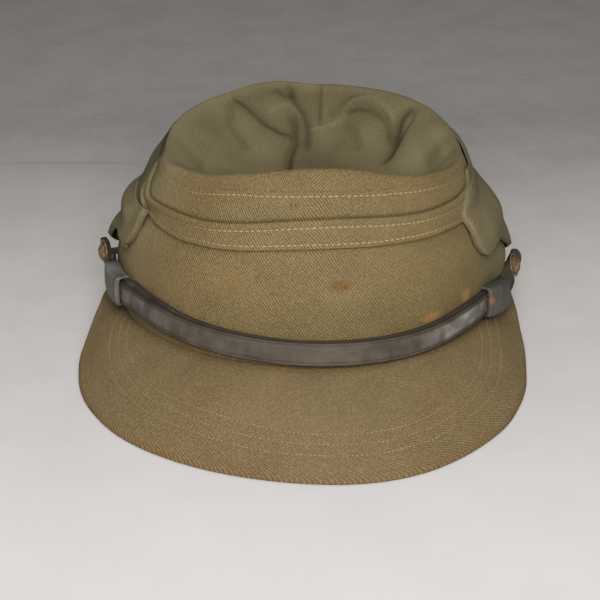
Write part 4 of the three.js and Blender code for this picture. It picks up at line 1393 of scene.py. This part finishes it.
class KepiColours(bpy.types.PropertyGroup):
    """Colours of the cap and of the floor."""

    cloth: colour_property("Cloth", "Olive khaki of the twill", (0.0800, 0.0597, 0.0266))
    top_cloth: colour_property("Top cloth", "Olive of the sunken top", (0.072, 0.063, 0.0335))
    flap_cloth: colour_property("Curtain cloth", "Olive of the curtain", (0.075, 0.0625, 0.0350))
    visor_cloth: colour_property("Visor cloth", "Khaki of the visor", (0.0762, 0.0558, 0.0268))
    thread: colour_property("Thread", "Pale beige of the stitches", (0.27, 0.19, 0.075))
    visor_thread: colour_property("Visor thread", "Thread of the visor", (0.175, 0.128, 0.058))
    strap: colour_property("Strap leather", "Grey brown of the strap", (0.0325, 0.0275, 0.0205))
    strap_worn: colour_property("Worn leather", "Brown of rubbed leather", (0.080, 0.048, 0.030))
    slide: colour_property("Slide leather", "Dark grey of the loops", (0.052, 0.050, 0.043))
    brass: colour_property("Brass", "Rubbed brass of the buttons", (0.21, 0.155, 0.080))
    dull_brass: colour_property("Dull brass", "Brown of the tarnish", (0.085, 0.060, 0.034))
    floor: colour_property("Floor", "Pale cloth that the cap lies on", (0.97, 0.875, 0.80))


class KEPI_OT_crown(bpy.types.Operator):
    """Soft wall of the crown and its sunken top panel"""

    bl_idname = "kepi.crown"
    bl_label = "Crown"

    def execute(self, context):
        colours = context.scene.kepi_colours
        mark = (0.020, 0.008, 0.004)
        spots = (
            ((0.01163, -0.06797, 0.05426), 0.0042, (1.5, 1.0, 0.8), (0.060, 0.028, 0.007), 0.55),
            ((0.00963, -0.06797, 0.05386), 0.0013, (1.0, 1.0, 0.9), mark, 0.55),
            ((0.01363, -0.06767, 0.05366), 0.0013, (1.0, 1.0, 0.9), mark, 0.60),
            ((-0.01448, -0.06816, 0.05088), 0.0010, (1.0, 1.0, 1.0), mark, 0.50),
            ((-0.00714, -0.0567, 0.08287), 0.0009, (0.8, 1.0, 2.6), mark, 0.40),
            ((-0.00532, -0.05689, 0.08291), 0.0009, (0.8, 1.0, 2.6), mark, 0.40),
            ((0.06423, -0.03884, 0.03494), 0.0050, (0.9, 0.9, 0.8), (0.20, 0.10, 0.03), 0.50),
            ((0.04893, -0.05582, 0.03400), 0.0060, (1.3, 1.0, 0.45), (0.17, 0.08, 0.025), 0.45),
            ((-0.03093, -0.06186, 0.05280), 0.0090, (1.2, 1.0, 1.0), (0.11, 0.062, 0.018), 0.22),
        )
        finish = twill("Wall twill", colours.cloth, 0.95, spots=spots)
        settle(wall_piece(), "cloth", "crown_wall", finish=finish)
        finish = twill("Top twill", colours.cloth, 0.95, slant=(0.87, -0.50), pitch=0.74)
        settle(tip_piece(), "cloth", "crown_tip", finish=finish)
        return {"FINISHED"}


class KEPI_OT_band(bpy.types.Operator):
    """Second layer of cloth round the front of the wall"""

    bl_idname = "kepi.band"
    bl_label = "Front band"

    def execute(self, context):
        finish = twill("Band twill", context.scene.kepi_colours.cloth, 0.9)
        settle(band_piece(), "cloth", "front_band", finish=finish)
        return {"FINISHED"}


class KEPI_OT_curtain(bpy.types.Operator):
    """Turned-up neck curtain with its two pointed tabs"""

    bl_idname = "kepi.curtain"
    bl_label = "Neck curtain"

    def execute(self, context):
        finish = twill("Curtain twill", context.scene.kepi_colours.flap_cloth, 0.4)
        settle(curtain_piece(), "cloth", "neck_curtain", finish=finish)
        return {"FINISHED"}


class KEPI_OT_visor(bpy.types.Operator):
    """Stiff crescent visor covered in the same cloth"""

    bl_idname = "kepi.visor"
    bl_label = "Visor"

    def execute(self, context):
        finish = twill("Visor twill", context.scene.kepi_colours.visor_cloth, 0.78,
                       slant=(0.45, 0.89), pitch=0.86)
        settle(visor_piece(), "visor_cloth", "visor", finish=finish)
        return {"FINISHED"}


class KEPI_OT_strap(bpy.types.Operator):
    """Chin strap of two lengths with its two loops"""

    bl_idname = "kepi.strap"
    bl_label = "Chin strap"

    def execute(self, context):
        colours = context.scene.kepi_colours
        hide = leather("Strap leather", colours.strap, colours.strap_worn)
        button, end = np.radians(BUTTON_TURN), STRAP_END / HALF_RIM
        stop = np.radians(SLIDE_RIGHT_TURN) + 3.0 / HALF_RIM
        outer = strap_piece("chin_strap_long", -button - end, stop, OUTER_STRAP, OUTER_STAND,
                            None, (-1, 1))
        settle(outer, "strap_leather", "chin_strap_outer", finish=hide)
        start = -button + INNER_START + end / 2
        inner = strap_piece("chin_strap_short", start, button + 1.4 * end, INNER_STRAP,
                            STRAP_STAND, inner_rise, (1,))
        settle(inner, "strap_leather", "chin_strap_inner", finish=hide)
        torn = (
            ((0.07640, -0.03180, 0.02850), 0.0021, (1.0, 1.0, 1.2), (0.115, 0.045, 0.031), 0.70),
            ((0.07290, -0.03420, 0.02950), 0.0020, (0.7, 0.7, 2.2), (0.080, 0.042, 0.030), 0.80),
        )
        # Both loops share one leather colour, with painted light on the left loop and painted
        # shade on the right.
        for name, turn, half, light, marks, node in (
            ("slide_left", SLIDE_LEFT_TURN, 9.2, 1.18, (), "strap_slide_left"),
            ("slide_right", SLIDE_RIGHT_TURN, 8.0, 0.72, torn, "strap_slide_right"),
        ):
            slide = slide_piece(name, turn, half, 0.9)
            finish = leather(name + " leather", np.array(colours.slide) * light,
                             colours.strap_worn, 0.6, marks)
            settle(slide, "slide_leather", node, finish=finish)
        return {"FINISHED"}


class KEPI_OT_buttons(bpy.types.Operator):
    """Two domed brass buttons that hold the strap"""

    bl_idname = "kepi.buttons"
    bl_label = "Buttons"

    def execute(self, context):
        colours = context.scene.kepi_colours
        finish = brass_finish("Old brass", colours.brass, colours.dull_brass)
        for name, side, node in (("brass_button_left", -1, "button_left"),
                                 ("brass_button_right", 1, "button_right")):
            settle(button_piece(name, side), "brass", node, finish=finish)
        return {"FINISHED"}


class KEPI_OT_stitches(bpy.types.Operator):
    """Rows of stitches on the crown, the band, the tabs and the visor"""

    bl_idname = "kepi.stitches"
    bl_label = "Stitches"

    def execute(self, context):
        colours = context.scene.kepi_colours
        for name, slot, rows, gap, long, thick, thread, cloth in (
            ("crown_stitching", "cloth", crown_rows(), 1, 1, 1, colours.thread, colours.cloth),
            ("band_stitching", "cloth", band_rows(), 1, 1, 1, colours.thread, colours.cloth),
            ("tab_stitching", "cloth", tab_rows(), 0.75, 0.65, 0.5,
             np.array(colours.thread) * 0.62, None),
            ("visor_stitching", "visor_cloth", visor_rows(), 0.72, 0.55, 0.85,
             colours.visor_thread, np.array(colours.visor_cloth) * 1.7),
        ):
            piece = sewn(name, rows, gap * size("stitch_pitch"), long * size("stitch_length"),
                         thick * size("thread"), thread, cloth)
            settle(piece, slot)
        return {"FINISHED"}


class KEPI_OT_stage(bpy.types.Operator):
    """Pale floor, soft light and the camera"""

    bl_idname = "kepi.stage"
    bl_label = "Stage"

    def execute(self, context):
        bend = np.linspace(0, 1.5, 16)
        ys = np.append(np.linspace(-2.5, 0.9, 30), 0.9 + 1.2 * np.sin(bend))
        zs = np.append(np.zeros(30), 1.2 * (1 - np.cos(bend)))
        xs = np.linspace(-3, 3, 25)
        points = [(float(x), float(y), float(z)) for y, z in zip(ys, zs) for x in xs]
        grid = np.arange(len(points)).reshape(len(ys), len(xs))
        floor = put("floor", add_mesh("floor", points, quads(grid).tolist()))
        finish = floor_finish("Floor cloth", context.scene.kepi_colours.floor)
        floor.data.materials.append(finish)
        for name, spot, aim, wide, power in (
            ("Key light", (0.03, -0.66, 0.46), (0, -0.05, 0.04), 0.45, 15.0),
            ("Top light", (0.0, -0.1, 1.3), (0, 0.0, 0.04), 1.0, 8.0),
        ):
            light = bpy.data.lights.new(name, "AREA")
            light.shape, light.size, light.energy = "DISK", wide, power
            aim_at(put(name, light), spot, aim)
        world = bpy.data.worlds.new("Soft room")
        world.use_nodes = True
        sky = world.node_tree.nodes["Background"].inputs
        sky["Color"].default_value = (0.95, 0.97, 1.0, 1)
        sky["Strength"].default_value = 0.45
        context.scene.world = world
        camera = bpy.data.cameras.new("Camera")
        camera.lens = 84.06
        camera.sensor_width = 36.0
        camera.clip_start, camera.clip_end = 0.01, 20.0
        view = put("Camera", camera)
        aim_at(view, (-0.0037484, -0.5465098, 0.3025538), (-0.0037494, -0.0697206, 0.0490504))
        context.scene.camera = view
        return {"FINISHED"}


class KEPI_PT_panel(bpy.types.Panel):
    """Sizes, colours and steps of the cap"""

    bl_label = "Kepi Cap"
    bl_idname = "KEPI_PT_panel"
    bl_space_type = "VIEW_3D"
    bl_region_type = "UI"
    bl_category = "Kepi Cap"

    def draw(self, context):
        layout = self.layout
        for group in (context.scene.kepi_sizes, context.scene.kepi_colours):
            for key in group.__annotations__:
                layout.prop(group, key)
        for step in STEPS:
            layout.operator(step.bl_idname)


STEPS = (KEPI_OT_crown, KEPI_OT_band, KEPI_OT_curtain, KEPI_OT_visor, KEPI_OT_strap,
         KEPI_OT_buttons, KEPI_OT_stitches, KEPI_OT_stage)
CLASSES = (KepiSizes, KepiColours) + STEPS + (KEPI_PT_panel,)


def register():
    for item in CLASSES:
        bpy.utils.register_class(item)
    bpy.types.Scene.kepi_sizes = PointerProperty(type=KepiSizes)
    bpy.types.Scene.kepi_colours = PointerProperty(type=KepiColours)


def unregister():
    del bpy.types.Scene.kepi_colours
    del bpy.types.Scene.kepi_sizes
    for item in reversed(CLASSES):
        bpy.utils.unregister_class(item)


def main():
    register()
    bpy.ops.kepi.crown()
    bpy.ops.kepi.band()
    bpy.ops.kepi.curtain()
    bpy.ops.kepi.visor()
    bpy.ops.kepi.strap()
    bpy.ops.kepi.buttons()
    bpy.ops.kepi.stitches()
    bpy.ops.kepi.stage()


if __name__ == "__main__":
    main()
